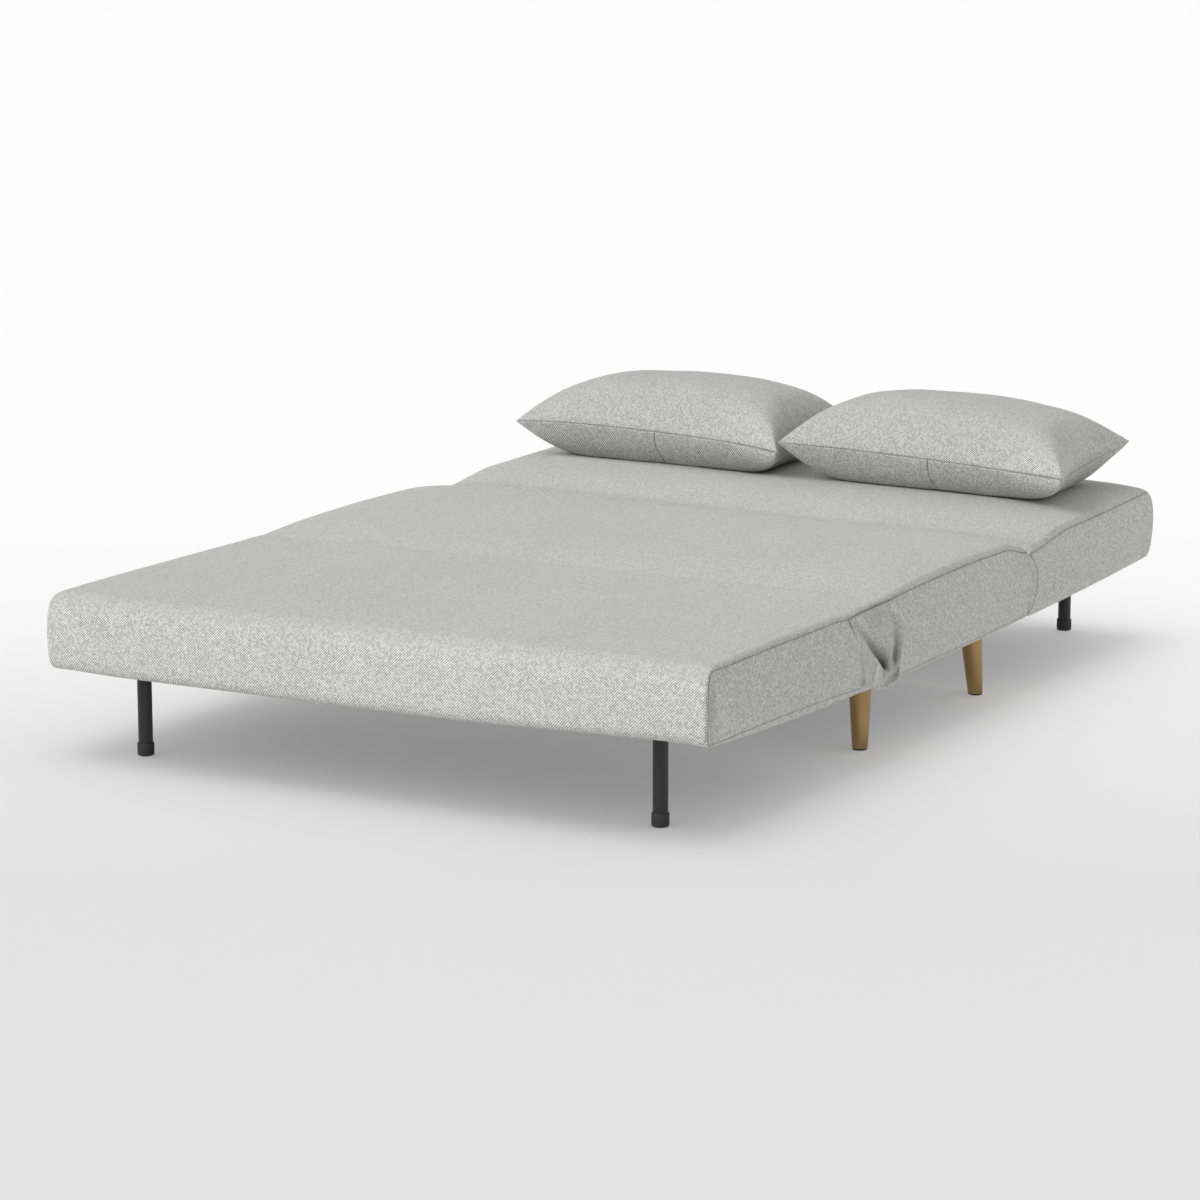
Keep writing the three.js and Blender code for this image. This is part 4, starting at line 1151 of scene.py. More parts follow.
class SOFA_OT_gathers(bpy.types.Operator):
    """Makes the pleated fabric over each side of the fold"""

    bl_idname = "sofa_bed.gathers"
    bl_label = "Fold gathers"

    columns = 110
    rows = 80
    thickness = 0.0016
    blend_reach = 0.03
    # The width that the cloth was cut to before it was gathered
    cut_width = 0.30
    # How far the cloth stands off the side: its fullness, the swell beside the far edge, and the limits
    fullness = 0.0118
    far_swell = 0.0022
    least_out = 0.0004
    most_out = 0.0138
    clearance = 0.0006
    # The shares of the way down at which the cloth has swelled out, and begins to draw in again
    upper_share = 0.3
    lower_share = 0.94
    # How far the near edge sinks into the side panel, and from which share of the way down
    near_sink = 0.007
    sink_share = 0.6
    # Painted shade over the whole cloth, and the width and strength of the painted highlight along the ridges
    base_shade = 0.07
    ridge_width = 0.008
    ridge_light = 0.24
    # How the upper edge arches, and the lobes of the lower edge, as (height, share of the way across, width)
    upper_arch = 0.0025
    broad_lobe = ((-0.004, 0.55, 0.22),)
    lobes = ((0.004, 0.28, 0.1), (-0.0025, 0.70, 0.2))
    # The strength and the pace of the small unevenness in the cloth
    ripple = 0.0005
    ripple_pace = (9, 7)
    # (lengthwise place, height) down both edges of the gathered piece
    near_edge = (
        (-0.514, 0.3085),
        (-0.500, 0.288),
        (-0.481, 0.264),
        (-0.470, 0.238),
        (-0.466, 0.212),
        (-0.465, 0.184),
        (-0.462, 0.1600),
    )
    far_edge = (
        (-0.318, 0.3125),
        (-0.293, 0.290),
        (-0.277, 0.264),
        (-0.273, 0.238),
        (-0.281, 0.210),
        (-0.290, 0.182),
        (-0.300, 0.1500),
    )
    # Each pleat: where it runs, its depth at both ends of that, its width on the near and the far side,
    # and how much shade is painted in it
    pleats = (
        {
            "line": (
                (-0.500, 0.300),
                (-0.463, 0.272),
                (-0.443, 0.254),
                (-0.420, 0.234),
                (-0.391, 0.211),
                (-0.373, 0.194),
            ),
            "depth": (0.0005, 0.012),
            "widths": (0.007, 0.022),
            "shade": 1.1,
        },
        {
            "line": ((-0.390, 0.164), (-0.380, 0.180), (-0.373, 0.194)),
            "depth": (0.002, 0.010),
            "widths": (0.006, 0.005),
            "shade": 0.8,
        },
        {
            "line": ((-0.468, 0.300), (-0.437, 0.272), (-0.416, 0.250)),
            "depth": (0.0015, 0.002),
            "widths": (0.008, 0.005),
            "shade": 0.35,
        },
        {
            "line": ((-0.343, 0.292), (-0.326, 0.262), (-0.315, 0.232), (-0.318, 0.206)),
            "depth": (0.003, 0.011),
            "widths": (0.022, 0.014),
            "shade": 0.75,
        },
        {
            "line": ((-0.385, 0.160), (-0.345, 0.1645), (-0.304, 0.172), (-0.270, 0.190)),
            "depth": (0.003, 0.009),
            "widths": (0.006, 0.014),
            "shade": 1.0,
        },
        {
            "line": ((-0.462, 0.235), (-0.455, 0.205), (-0.452, 0.176)),
            "depth": (0.001, 0.003),
            "widths": (0.004, 0.005),
            "shade": 0.42,
        },
        {
            "line": ((-0.424, 0.216), (-0.420, 0.198), (-0.423, 0.180)),
            "depth": (0.001, 0.004),
            "widths": (0.004, 0.007),
            "shade": 0.45,
        },
    )

    # Painted highlight along the rounded tops between the pleats, where the yarns catch the light
    ridges = (
        ((-0.480, 0.302), (-0.433, 0.265), (-0.398, 0.236), (-0.370, 0.205), (-0.376, 0.184)),
        ((-0.330, 0.300), (-0.298, 0.286), (-0.283, 0.262), (-0.282, 0.236), (-0.292, 0.206)),
        ((-0.404, 0.200), (-0.420, 0.176)),
    )

    def execute(self, context):
        cloth = woven("gather_fabric", context.scene.sofa_fabric, (panel_seam,))
        for word, side in SIDES:
            self.gather(word, side, cloth)
        return {"FINISHED"}

    def gather(self, word, side, cloth):
        mesh = bmesh.new()
        bmesh.ops.create_grid(mesh, x_segments=self.columns, y_segments=self.rows, size=1)
        seam, shade = float_layers(mesh, "seam", "shade")
        for vertex in mesh.verts:
            across, down = vertex.co.x, (1 - vertex.co.y) / 2
            vertex.co, vertex[shade] = self.cloth_place(across, down, side)
            # A sewn line runs along the upper edge
            vertex[seam] = 0.001 + 0.06 * down
        face_way(mesh, Vector((side, 0, 0)))
        area = cloth_area(mesh)
        piece = thickened(settle(f"gathered_cloth_{word}", mesh, cloth), self.thickness, -1)
        reach, wide = self.blend_reach, self.cut_width
        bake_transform(piece)
        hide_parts(f"fold_gather_{word}")
        area / wide

    def cloth_place(self, across, down, side):
        """A point's place and painted shade: the cloth is drawn together downwards, full between, and
        pleated.
        """
        near = along_points(self.near_edge, down)
        far = along_points(self.far_edge, down)
        part = (across + 1) / 2
        spot = near + (far - near) * part
        arched = self.upper_arch * (1 - across**2) * (1 - down) ** 4
        spot.y += arched + bells(self.broad_lobe, part) * down**6
        spot.y += bells(self.lobes, part) * down**5
        arch = (1 - across**5) ** 0.5 if across > 0 else 1 - abs(across) ** 2.6
        hung = rise(share(0, self.upper_share, down)) * (1 - rise(share(self.lower_share, 1, down))) ** 0.5
        out = (self.fullness + self.far_swell * bell(across - 0.72, 0.2)) * arch * hung
        # Painted shade, deepest in the pleats and lighter on the ridges
        dark = self.base_shade * arch
        for pleat in self.pleats:
            gap, way = off_line(pleat["line"], spot)
            form = bell(gap, pleat["widths"][0 if gap < 0 else 1])
            out -= mix(pleat["depth"], way) * form * min(arch * 1.4, 1)
            dark = max(dark, pleat["shade"] * (0.15 + 0.85 * way**1.3) * form)
        for ridge in self.ridges:
            gap, _ = off_line(ridge, spot)
            dark -= self.ridge_light * bell(gap, self.ridge_width) * (1 - dark)
        pace = self.ripple_pace
        out += self.ripple * noise.noise(Vector((across * pace[0], down * pace[1], 3.1)))
        out = min(max(out, self.least_out), self.most_out)
        out -= self.near_sink * rise(share(self.sink_share, 1, down)) * (1 - part) ** 8
        return (side * (HALF_WIDTH + self.clearance + out), spot.x, spot.y), dark


class SOFA_OT_pillows(bpy.types.Operator):
    """Makes the two loose pillows, plumped by cloth pressure"""

    bl_idname = "sofa_bed.pillows"
    bl_label = "Pillows"

    divisions = (84, 52, 1)
    # How much the columns and rows crowd towards the seam
    crowding = 0.35
    # The cover's upper and lower halves start this far from the seam's height
    seam_gap = 0.0008
    # How far in from the seam the cover fills out where it is creased and where it turns over, and how
    # sharp its crease is
    top_reaches = (0.165, 0.125)
    top_crease = 2.6
    under_reaches = (0.085, 0.08)
    under_crease = 1.9
    # Folds run in from the right end
    fold_width = 0.055
    fold_slant = 0.6
    # The seam is hidden in the near right corner, where the cover turns over
    seam_offset = 0.0012
    seam_hidden = 0.012
    # Where from -1 to 1, across and lengthwise, the forms of the near right corner begin and are whole
    push_run = (0.2, -1)
    rounded_runs = ((0.55, 1), (0.9, 0.1))
    fold_run = (0.86, 0.94)
    hidden_runs = ((0.975, 0.995), (-1, -0.94))
    # The closure ends at this place lengthwise, and its line bends where the lower face turns under
    flap_end = 0.4
    flap_slant = 0.2
    flap_bend = 0.016
    hang_depth = 0.07
    # Painted shade on the top, on the lower face, and deeper under it
    top_shade = 0.085
    under_shade = 0.06
    deep_shade = 0.2

    simulation_steps = 20
    # Small forms of the cover: pleats that fan out near each corner, ripples along the seam at so many
    # radians to the metre, and slow unevenness further in
    pleat_height = 0.0011
    pleat_rate = 9
    pleat_run = (0.15, 0.02)
    pleat_fade = 0.02
    ripple_height = 0.0007
    ripple_rate = 95
    ripple_from_seam = 0.012
    drift_height = 0.0022
    drift_rate = 11
    drift_fade = 0.04

    def execute(self, context):
        settings = context.scene.sofa_pillows
        cloth = woven("pillow_fabric", context.scene.sofa_fabric, (pillow_seam, flap_seam))
        for word, place in PILLOWS.items():
            self.pillow(context, word, place, cloth, settings)
        return {"FINISHED"}

    def pillow(self, context, word, place, cloth, settings):
        low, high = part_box(f"pillow_cover_{word}")
        middle = (low + high) / 2
        mesh = lattice_block(self.divisions)
        layers = float_layers(mesh, "seam", "flap", "shade")
        turn = Matrix.Rotation(place["turn"], 4, "Z")
        for vertex in mesh.verts:
            (x, y, z), marks = self.cover_place(vertex.co, place, settings.draw, low.z, high.z)
            for layer, mark in zip(layers, marks):
                vertex[layer] = mark
            vertex.co = turn @ Vector((x, y, 0)) + Vector((middle.x, middle.y, z))
        bmesh.ops.recalc_face_normals(mesh, faces=mesh.faces)
        piece = settle(f"pillow_{word}", mesh, cloth)
        self.plump(context, piece, settings, low)
        self.tug_corners(piece, middle, place, low)
        subdivided(piece)
        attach(piece, f"pillow_{word}")
        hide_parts(f"pillow_cover_{word}", f"pillow_pad_{word}")

    def seam_height(self, place, u, v):
        """Height of the seam over the pillow's lowest point: each corner hangs by its own amount."""
        front = mix(place["corners"][:2], (u + 1) / 2)
        rear = mix(place["corners"][2:], (u + 1) / 2)
        return mix((front, rear), (v + 1) / 2) + place["lift"] * (1 - u**4) * (1 - 0.5 * v**4)

    def fullness(self, inward, reaches, sharp, rounded):
        """0 at the seam to 1 far in from it: a crease, or cloth that turns over where it is rounded."""
        crease = 1 - (1 - share(0, reaches[0], inward)) ** sharp
        turned_over = math.sqrt(1 - (1 - share(0, reaches[1], inward)) ** 2)
        return mix((crease, turned_over), rounded)

    def cover_place(self, spot, place, draw, floor, ceiling):
        """A point of the cover before the pillow is turned, and its seam, closure and painted shade marks."""
        u, v = (
            math.sin(part * math.pi / 2) * self.crowding + part * (1 - self.crowding) for part in spot.xy
        )
        top = spot.z > 0
        half_x, half_y = place["half"]
        x = u * (half_x - draw * (1 - v * v) * u * u) + place["shift"]
        y = v * (half_y - draw * (1 - u * u) * v * v)
        x += place["push"] * share(0, 1, u) ** 2 * share(*self.push_run, v)
        inward_x, inward_y = (1 - abs(u)) * half_x, (1 - abs(v)) * half_y
        inward = inward_x * inward_y / max(math.hypot(inward_x, inward_y), 1e-6)
        rounded = share(*self.rounded_runs[0], u) * rise(share(*self.rounded_runs[1], v))
        at_seam = floor + self.seam_height(place, u, v)
        if top:
            broad = math.sqrt(max(0, 1 - abs(u) ** 2.2) * max(0, 1 - abs(v) ** 2.6))
            swell = 0.5 * self.fullness(inward, self.top_reaches, self.top_crease, rounded) + 0.5 * broad
            z = at_seam + self.seam_gap + (ceiling + place["top"] + place["skew"] * u - at_seam) * swell
        else:
            under = self.fullness(inward, self.under_reaches, self.under_crease, rounded)
            z = max(at_seam - self.seam_gap - (at_seam - floor) * under, floor)
        for line, depth in place["folds"]:
            form = bell(v - line - self.fold_slant * (1 - u), self.fold_width)
            z -= depth * form * rise(share(*self.fold_run, u)) * (1 if top else -0.4)
        hidden = rise(share(*self.hidden_runs[0], u)) * rise(share(*self.hidden_runs[1], v))
        seam = (min(inward_x, inward_y) + self.seam_offset) * (1 if top else -1) + self.seam_hidden * hidden
        below = at_seam - z
        hang = share(0, self.hang_depth, below)
        flap = x - place["flap"] + self.flap_slant * below - self.flap_bend * hang**3
        if top or v > self.flap_end:
            flap = 1.0
        shade = self.top_shade * (1 - rounded) if top else self.under_shade + self.deep_shade * hang
        return (x, y, z), (seam, flap, shade)

    def plump(self, context, piece, settings, low):
        """Cloth pressure wrinkles the cover a little, then each point is kept near its start."""
        rest = [vertex.co.copy() for vertex in piece.data.vertices]
        cloth = piece.modifiers.new("Plump", "CLOTH").settings
        cloth.use_pressure = True
        cloth.uniform_pressure_force = settings.pressure
        cloth.effector_weights.gravity = 0
        cloth.tension_stiffness = 12
        cloth.compression_stiffness = 6
        cloth.bending_stiffness = 0.4
        cloth.quality = 6
        for step in range(1, self.simulation_steps + 1):
            context.scene.frame_set(step)
        posed = piece.evaluated_get(context.evaluated_depsgraph_get())
        swollen = [vertex.co.copy() for vertex in posed.data.vertices]
        piece.modifiers.clear()
        context.scene.frame_set(1)
        for vertex, old, new in zip(piece.data.vertices, rest, swollen):
            move = new - old
            if move.length > settings.most_swell:
                move *= settings.most_swell / move.length
            spot = old + move
            spot.z = max(spot.z, low.z)
            vertex.co = spot

    def tug_corners(self, piece, middle, place, low):
        """Short pleats run in from each corner and soft waves along the seam."""
        turn = Matrix.Rotation(-place["turn"], 4, "Z")
        half_x, half_y = place["half"]
        seed = place["seed"]
        edges = [edge.value for edge in piece.data.attributes["seam"].data]
        normals = [vertex.normal.copy() for vertex in piece.data.vertices]
        for vertex, edge, normal in zip(piece.data.vertices, edges, normals):
            spot = turn @ (vertex.co - Vector((middle.x, middle.y, 0)))
            spot.x -= place["shift"]
            inward = abs(edge)
            from_x, from_y = half_x - abs(spot.x), half_y - abs(spot.y)
            corner = rise(share(*self.pleat_run, math.hypot(from_x, from_y)))
            corner *= share(0, self.pleat_fade, inward)
            pleat = math.sin(math.atan2(from_y, from_x) * self.pleat_rate + seed) * corner
            # The near right corner turns over instead
            if spot.x > 0 > spot.y:
                pleat = 0
            near_seam = bell(inward - self.ripple_from_seam, self.ripple_from_seam)
            ripple = math.sin(spot.x * self.ripple_rate + seed) * near_seam
            drift = noise.noise(vertex.co * self.drift_rate + Vector((seed, 0, 0)))
            drift *= share(0, self.drift_fade, inward)
            lift = self.pleat_height * pleat + self.ripple_height * ripple + self.drift_height * drift
            vertex.co += normal * lift
            vertex.co.z = max(vertex.co.z, low.z)


class SOFA_OT_underside_cloths(bpy.types.Operator):
    """Makes the black dust cloth under each section, slotted for the legs"""

    bl_idname = "sofa_bed.underside_cloths"
    bl_label = "Underside cloths"

    # How far a cloth ends short of the opening, lies over the underside, and hangs in its middle
    rear_clearance = 0.001
    height = 0.0012
    sag = 0.0006
    sag_reach = 0.2
    thickness = 0.0008

    def execute(self, context):
        cloth = felted("underside_cloth")
        for name, section in SECTIONS.items():
            self.cloth(name, section, cloth)
        return {"FINISHED"}

    def cloth(self, name, section, material):
        start, end = section["ends"]
        low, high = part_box(f"{name}_underside_cloth")
        far = max(end - section["opening"][1] - self.rear_clearance, high.y)
        mesh = bmesh.new()
        bmesh.ops.create_grid(mesh, x_segments=30, y_segments=16, size=1)
        bmesh.ops.scale(mesh, vec=(high.x, (far - low.y) / 2, 1), verts=mesh.verts)
        bmesh.ops.translate(mesh, vec=(0, (far + low.y) / 2, 0), verts=mesh.verts)
        slots = self.slots(name)
        for x0, x1, y0, y1 in slots:
            for x in (x0, x1):
                bmesh.ops.bisect_plane(mesh, geom=everything(mesh), plane_co=(x, 0, 0), plane_no=(1, 0, 0))
            for y in (y0, y1):
                bmesh.ops.bisect_plane(mesh, geom=everything(mesh), plane_co=(0, y, 0), plane_no=(0, 1, 0))
        gone = []
        for face in mesh.faces:
            spot = face.calc_center_median()
            if any(x0 < spot.x < x1 and y0 < spot.y < y1 for x0, x1, y0, y1 in slots):
                gone.append(face)
        bmesh.ops.delete(mesh, geom=gone, context="FACES")
        for vertex in mesh.verts:
            inside = min(high.x - abs(vertex.co.x), vertex.co.y - low.y, far - vertex.co.y)
            sag = self.sag * rise(share(0, self.sag_reach, inside))
            vertex.co.z = mix(section["underside"], share(start, end, vertex.co.y)) + self.height - sag
        area = cloth_area(mesh)
        piece = thickened(settle(f"dust_cloth_{name}", mesh, material), self.thickness, 1)
        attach(piece, name)
        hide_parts(f"{name}_underside_cloth")
        wide, long = 2 * high.x, far - low.y
        min(area, wide * long)

    def slots(self, name):
        """Where the folded legs pass through: the least and most x and y of each slot."""
        if name == "seat":
            return []
        loop = LOOPS["front" if name == "front" else "rear"]
        far = loop["z"] + CAP_RADIUS + SLOT_CLEARANCE
        y0, y1 = loop["y"] - LEG_SLOT, loop["y"] + far
        if loop["turn"] < 0:
            y0, y1 = loop["y"] - far, loop["y"] + LEG_SLOT
        return [(side * loop["x"] - LEG_SLOT, side * loop["x"] + LEG_SLOT, y0, y1) for _, side in SIDES]


class SOFA_OT_brass_legs(bpy.types.Operator):
    """Makes the four turned, splayed brass legs"""

    bl_idname = "sofa_bed.brass_legs"
    bl_label = "Brass legs"

    # How much further out the foot stands than the top, sideways and lengthwise
    splay_x = 0.009
    splay_y = 0.016
    top_gap = 0.0003
    # Stretches of its outline longer than this are divided
    long_stretch = 0.03
    # (radius, height) up the leg, from the glide to where its rounded top begins
    profile = (
        (0, 0.003),
        (0.0138, 0.003),
        (0.0150, 0.0034),
        (0.0155, 0.0046),
        (0.0166, 0.025),
        (0.0200, 0.085),
        (0.0224, 0.125),
    )
    # (radius, depth below the top) of the rest
    top_profile = ((0.0243, 0.0016), (0.0241, 0.0004), (0.0236, 0), (0, 0))

    def execute(self, context):
        brass = brushed("leg_brass", tuple(context.scene.sofa_metals.brass), 0.24)
        for place, (foot_x, foot_y, way) in BRASS_FEET.items():
            for word, side in SIDES:
                self.leg(f"{place}_{word}", side * foot_x, foot_y, side, way, brass)
        return {"FINISHED"}

    def leg(self, place, foot_x, foot_y, side, way, brass):
        top_x = foot_x - side * self.splay_x
        top_y = foot_y - way * self.splay_y
        section = SECTIONS["seat"]
        height = mix(section["underside"], share(*section["ends"], top_y)) - self.top_gap
        top = [(radius, height - depth) for radius, depth in self.top_profile]
        mesh = turned([*self.profile, *top], steps=72)
        rings = []
        for edge in mesh.edges:
            if abs(edge.verts[0].co.z - edge.verts[1].co.z) > self.long_stretch:
                rings.append(edge)
        bmesh.ops.subdivide_edges(mesh, edges=rings, cuts=3, use_grid_fill=True)
        for vertex in mesh.verts:
            down = max(0, (height - vertex.co.z) / height)
            vertex.co.x += top_x + (foot_x - top_x) * down
            vertex.co.y += top_y + (foot_y - top_y) * down
        bmesh.ops.recalc_face_normals(mesh, faces=mesh.faces)
        piece = settle(f"turned_leg_{place}", mesh, brass, "seat")
        crisp(piece)
        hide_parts(f"brass_leg_{place}")


class SOFA_OT_leg_loops(bpy.types.Operator):
    """Makes the two bent tube leg loops with their rubber caps"""

    bl_idname = "sofa_bed.leg_loops"
    bl_label = "Leg loops"

    # Radius of the tube's bend, and the heights of its foot inside the cap and of its first ring
    bend = 0.034
    foot_height = 0.0045
    ring_height = 0.0345
    # (radius, height) round the rubber cap, up its outside and down into it
    cap_profile = (
        (0, 0),
        (0.0128, 0),
        (0.0148, 0.0008),
        (0.0160, 0.0028),
        (CAP_RADIUS, 0.0055),
        (CAP_RADIUS, 0.0228),
        (0.0160, 0.0242),
        (0.0153, 0.025),
        (0.01405, 0.025),
        (0.01405, 0.012),
        (0, 0.012),
    )

    def execute(self, context):
        black = coated("tube_coat", tuple(context.scene.sofa_metals.black), 0.42)
        rubber = rubbery("cap_rubber")
        for name, loop in LOOPS.items():
            self.tube(name, loop, black)
            for word, side in SIDES:
                self.cap(name, word, side, loop, rubber)
        return {"FINISHED"}

    def tube(self, name, loop, black):
        """One leg and half the bar are drawn out from a circle, and mirrored."""
        mesh = bmesh.new()
        made = bmesh.ops.create_circle(mesh, radius=TUBE_RADIUS, segments=40)
        bmesh.ops.translate(mesh, verts=made["verts"], vec=(loop["x"], loop["y"], self.foot_height))
        edges = mesh.edges[:]
        for step in (self.ring_height - self.foot_height, loop["z"] - self.bend - self.ring_height):
            made = bmesh.ops.extrude_edge_only(mesh, edges=edges)
            verts = parts_of(made["geom"], bmesh.types.BMVert)
            edges = parts_of(made["geom"], bmesh.types.BMEdge)
            bmesh.ops.translate(mesh, verts=verts, vec=(0, 0, step))
        bent = bmesh.ops.spin(
            mesh,
            geom=verts + edges,
            cent=(loop["x"] - self.bend, loop["y"], loop["z"] - self.bend),
            axis=(0, -1, 0),
            angle=math.pi / 2,
            steps=10,
        )
        edges = parts_of(bent["geom_last"], bmesh.types.BMEdge)
        made = bmesh.ops.extrude_edge_only(mesh, edges=edges)
        verts = parts_of(made["geom"], bmesh.types.BMVert)
        bmesh.ops.translate(mesh, verts=verts, vec=(self.bend - loop["x"], 0, 0))
        for vertex in verts:
            vertex.co.x = 0
        foot = [edge for edge in mesh.edges if edge.is_boundary and max(v.co.z for v in edge.verts) < 0.01]
        bmesh.ops.contextual_create(mesh, geom=foot)
        bmesh.ops.mirror(mesh, geom=everything(mesh), axis="X", merge_dist=MERGE)
        bmesh.ops.remove_doubles(mesh, verts=mesh.verts, dist=MERGE)
        bmesh.ops.recalc_face_normals(mesh, faces=mesh.faces)
        piece = settle(f"{name}_bent_tube", mesh, black, loop["body"])
        crisp(piece)
        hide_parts(f"{name}_leg_loop")

    def cap(self, name, word, side, loop, rubber):
        mesh = turned(self.cap_profile, steps=48)
        bmesh.ops.translate(mesh, verts=mesh.verts, vec=(side * loop["x"], loop["y"], 0))
        bmesh.ops.recalc_face_normals(mesh, faces=mesh.faces)
        piece = settle(f"{name}_rubber_cap_{word}", mesh, rubber, loop["body"])
        crisp(piece)
        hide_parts(f"{name}_leg_cap_{word}")


class SOFA_OT_frame_finishes(bpy.types.Operator):
    """Gives the rails, slats, hinges and glides of the frame their finishes"""

    bl_idname = "sofa_bed.frame_finishes"
    bl_label = "Frame finishes"

    def execute(self, context):
        metals = context.scene.sofa_metals
        finishes = {
            "_frame_": coated("rail_coat", tuple(metals.black), 0.5),
            "_slat_": beech("slat_beech"),
            "hinge": brushed("hinge_zinc", tuple(metals.zinc), 0.42, along_z=False),
            "click_clack": brushed("fitting_zinc", tuple(metals.zinc), 0.4, along_z=False),
            "glide": rubbery("glide_plastic"),
        }
        for name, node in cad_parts.items():
            for word, material in finishes.items():
                if word in name and not node.hide_render:
                    for slot in node.material_slots:
                        slot.material = material
        return {"FINISHED"}


class SOFA_OT_stage(bpy.types.Operator):
    """Makes the pale floor, the soft lights and the camera"""

    bl_idname = "sofa_bed.stage"
    bl_label = "Stage"

    # The photograph's viewpoint: the camera looks down by pitch and to the left by yaw, in degrees
    eye = (3.59446, -6.6233, 1.65765)
    pitch = 11.0135
    yaw = 29.1769
    lens = 111.824
    # The floor runs from behind the camera to far past the sofa bed, just under its feet
    floor_start = -12.0
    floor_end = 60.0
    floor_half = 30.0
    floor_height = -0.0006
    # Painted light: how light the floor is painted at distances ahead of the camera, darker near it and white
    # far off
    painted_floor_light = ((6.06, 0.768), (7.45, 0.871), (8.52, 0.956), (9.93, 1.0))
    # Across the mirrored studio, from the left to the right of the view, and how light it is at each
    studio_run = (-0.9, 0.9)
    studio_levels = (0.05, 1.0)
    # How wide the suns are, which softens their shadows
    softness = math.radians(38)
    # Which way the slanted key and the light from above shine
    slanted = Vector((0.42, 0.66, -0.62))
    down = Vector((0.1, 0.1, -1))

    def execute(self, context):
        scene = context.scene
        scene.view_settings.view_transform = "Standard"
        self.camera(scene)
        floor = self.floor(scene.sofa_stage)
        self.world(scene, scene.sofa_stage)
        self.keys(scene, scene.sofa_stage, floor)
        return {"FINISHED"}

    def camera(self, scene):
        data = bpy.data.cameras.new("camera")
        data.lens = self.lens
        data.sensor_width = 36
        data.sensor_fit = "HORIZONTAL"
        data.clip_end = 100
        camera = bpy.data.objects.new("camera", data)
        camera.location = self.eye
        camera.rotation_euler = (math.radians(90 - self.pitch), 0, math.radians(self.yaw))
        scene.collection.objects.link(camera)
        scene.camera = camera

    def floor(self, settings):
        mesh = bmesh.new()
        bmesh.ops.create_grid(mesh, x_segments=1, y_segments=1, size=1)
        turn = Matrix.Rotation(math.radians(self.yaw), 4, "Z")
        forward = turn @ Vector((0, 1, 0))
        right = turn @ Vector((1, 0, 0))
        start = Vector((*self.eye[:2], self.floor_height))
        for vertex in mesh.verts:
            ahead = self.floor_start if vertex.co.y < 0 else self.floor_end
            vertex.co = start + forward * ahead + right * vertex.co.x * self.floor_half
        finish = Finish("floor_paper", 0.9)
        ahead = finish.node(
            "ShaderNodeVectorMath",
            {"operation": "DOT_PRODUCT"},
            {0: finish.place(), 1: tuple(forward)},
            output="Value",
        )
        depth = ahead - start.dot(forward)
        first, last = self.painted_floor_light[0][0], self.painted_floor_light[-1][0]
        stops = [
            ((place - first) / (last - first), [look * settings.floor] * 3)
            for place, look in self.painted_floor_light
        ]
        amount = ((depth - first) / (last - first)).clamp()
        # Painted light: the floor's colour runs from grey near the camera to white far off
        paper = finish.node("ShaderNodeValToRGB", {"stops": stops}, {"Fac": amount})
        finish.set("Base Color", paper)
        finish.set("Specular IOR Level", 0.1)
        floor = settle("floor", mesh, finish.material, smooth=False)
        return floor

    def world(self, scene, settings):
        """White where it is seen, and light from all round elsewhere."""
        world = bpy.data.worlds.new("studio")
        world.use_nodes = True
        tree = world.node_tree
        tree.nodes.clear()
        path = tree.nodes.new("ShaderNodeLightPath")
        seen = path.outputs["Is Camera Ray"]
        for ray in ("Is Glossy Ray", "Is Transmission Ray"):
            either = tree.nodes.new("ShaderNodeMath")
            either.operation = "MAXIMUM"
            tree.links.new(seen, either.inputs[0])
            tree.links.new(path.outputs[ray], either.inputs[1])
            seen = either.outputs[0]
        both = tree.nodes.new("ShaderNodeMixShader")
        tree.links.new(seen, both.inputs[0])
        backgrounds = []
        for index, strength in ((1, settings.sky), (2, 1.0)):
            background = tree.nodes.new("ShaderNodeBackground")
            background.inputs["Color"].default_value = (1, 1, 1, 1)
            background.inputs["Strength"].default_value = strength
            tree.links.new(background.outputs[0], both.inputs[index])
            backgrounds.append(background)
        self.dark_side(tree, path, backgrounds[1])
        out = tree.nodes.new("ShaderNodeOutputWorld")
        tree.links.new(both.outputs[0], out.inputs[0])
        scene.world = world

    def dark_side(self, tree, path, background):
        """Metal mirrors a studio that is dark on its left and light on its right."""
        where = tree.nodes.new("ShaderNodeTexCoord")
        facing = tree.nodes.new("ShaderNodeVectorMath")
        facing.operation = "DOT_PRODUCT"
        yaw = math.radians(self.yaw)
        facing.inputs[1].default_value = (math.cos(yaw), math.sin(yaw), 0)
        tree.links.new(where.outputs["Generated"], facing.inputs[0])
        spread = tree.nodes.new("ShaderNodeMapRange")
        tree.links.new(facing.outputs["Value"], spread.inputs[0])
        for index, value in enumerate((*self.studio_run, *self.studio_levels), start=1):
            spread.inputs[index].default_value = value
        either = tree.nodes.new("ShaderNodeMath")
        either.operation = "MAXIMUM"
        tree.links.new(spread.outputs[0], either.inputs[0])
        tree.links.new(path.outputs["Is Camera Ray"], either.inputs[1])
        tree.links.new(either.outputs[0], background.inputs["Strength"])

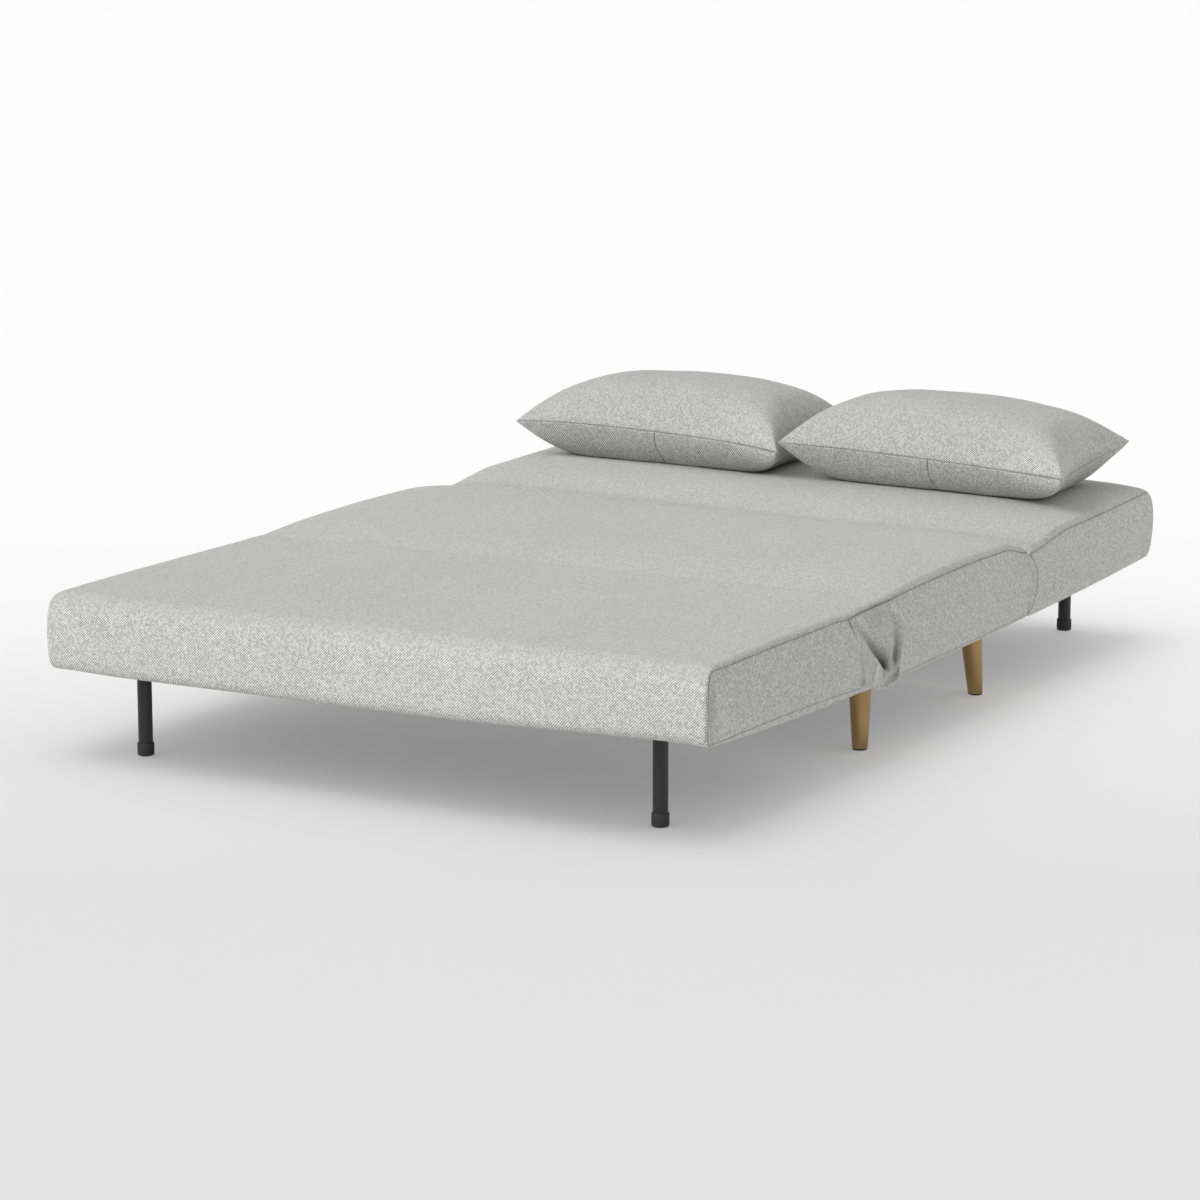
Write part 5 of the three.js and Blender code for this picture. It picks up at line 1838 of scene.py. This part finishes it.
    def keys(self, scene, settings, floor):
        """One soft key for the sofa bed, and two that only the floor takes."""
        for name, aim, energy, state, shadow in (
            ("key", self.slanted, settings.key, "EXCLUDE", True),
            ("floor_key", self.slanted, settings.floor_key, "INCLUDE", False),
            ("floor_top", self.down, settings.floor_top, "INCLUDE", True),
        ):
            data = bpy.data.lights.new(name, "SUN")
            data.energy = energy
            data.angle = self.softness
            data.use_shadow = shadow
            light = bpy.data.objects.new(name, data)
            light.rotation_euler = aim.to_track_quat("-Z", "Y").to_euler()
            scene.collection.objects.link(light)
            lit = bpy.data.collections.new(f"{name}_receivers")
            lit.objects.link(floor)
            light.light_linking.receiver_collection = lit
            lit.collection_objects[0].light_linking.link_state = state


class SOFA_PT_panel(bpy.types.Panel):
    """Lists the pieces of the sofa bed"""

    bl_idname = "SOFA_PT_panel"
    bl_label = "Sofa bed"
    bl_space_type = "VIEW_3D"
    bl_region_type = "UI"
    bl_category = "Sofa bed"

    def draw(self, context):
        for operator in OPERATORS:
            self.layout.operator(operator.bl_idname)
        for group in ("sofa_fabric", "sofa_pillows", "sofa_metals", "sofa_stage"):
            settings = getattr(context.scene, group)
            for name in settings.__annotations__:
                self.layout.prop(settings, name)


SETTINGS = {
    "sofa_fabric": SOFA_FabricSettings,
    "sofa_pillows": SOFA_PillowSettings,
    "sofa_metals": SOFA_MetalSettings,
    "sofa_stage": SOFA_StageSettings,
}
OPERATORS = (
    SOFA_OT_sections,
    SOFA_OT_gathers,
    SOFA_OT_pillows,
    SOFA_OT_underside_cloths,
    SOFA_OT_brass_legs,
    SOFA_OT_leg_loops,
    SOFA_OT_frame_finishes,
    SOFA_OT_stage,
)


def register():
    for group in (*SETTINGS.values(), *OPERATORS, SOFA_PT_panel):
        bpy.utils.register_class(group)
    for name, group in SETTINGS.items():
        setattr(bpy.types.Scene, name, PointerProperty(type=group))


def unregister():
    for name in SETTINGS:
        delattr(bpy.types.Scene, name)
    for group in (SOFA_PT_panel, *reversed(OPERATORS), *SETTINGS.values()):
        bpy.utils.unregister_class(group)


def main():
    register()
    bpy.ops.sofa_bed.stage()
    bpy.ops.sofa_bed.sections()
    bpy.ops.sofa_bed.gathers()
    bpy.ops.sofa_bed.pillows()
    bpy.ops.sofa_bed.underside_cloths()
    bpy.ops.sofa_bed.brass_legs()
    bpy.ops.sofa_bed.leg_loops()
    bpy.ops.sofa_bed.frame_finishes()


if __name__ == "__main__":
    main()
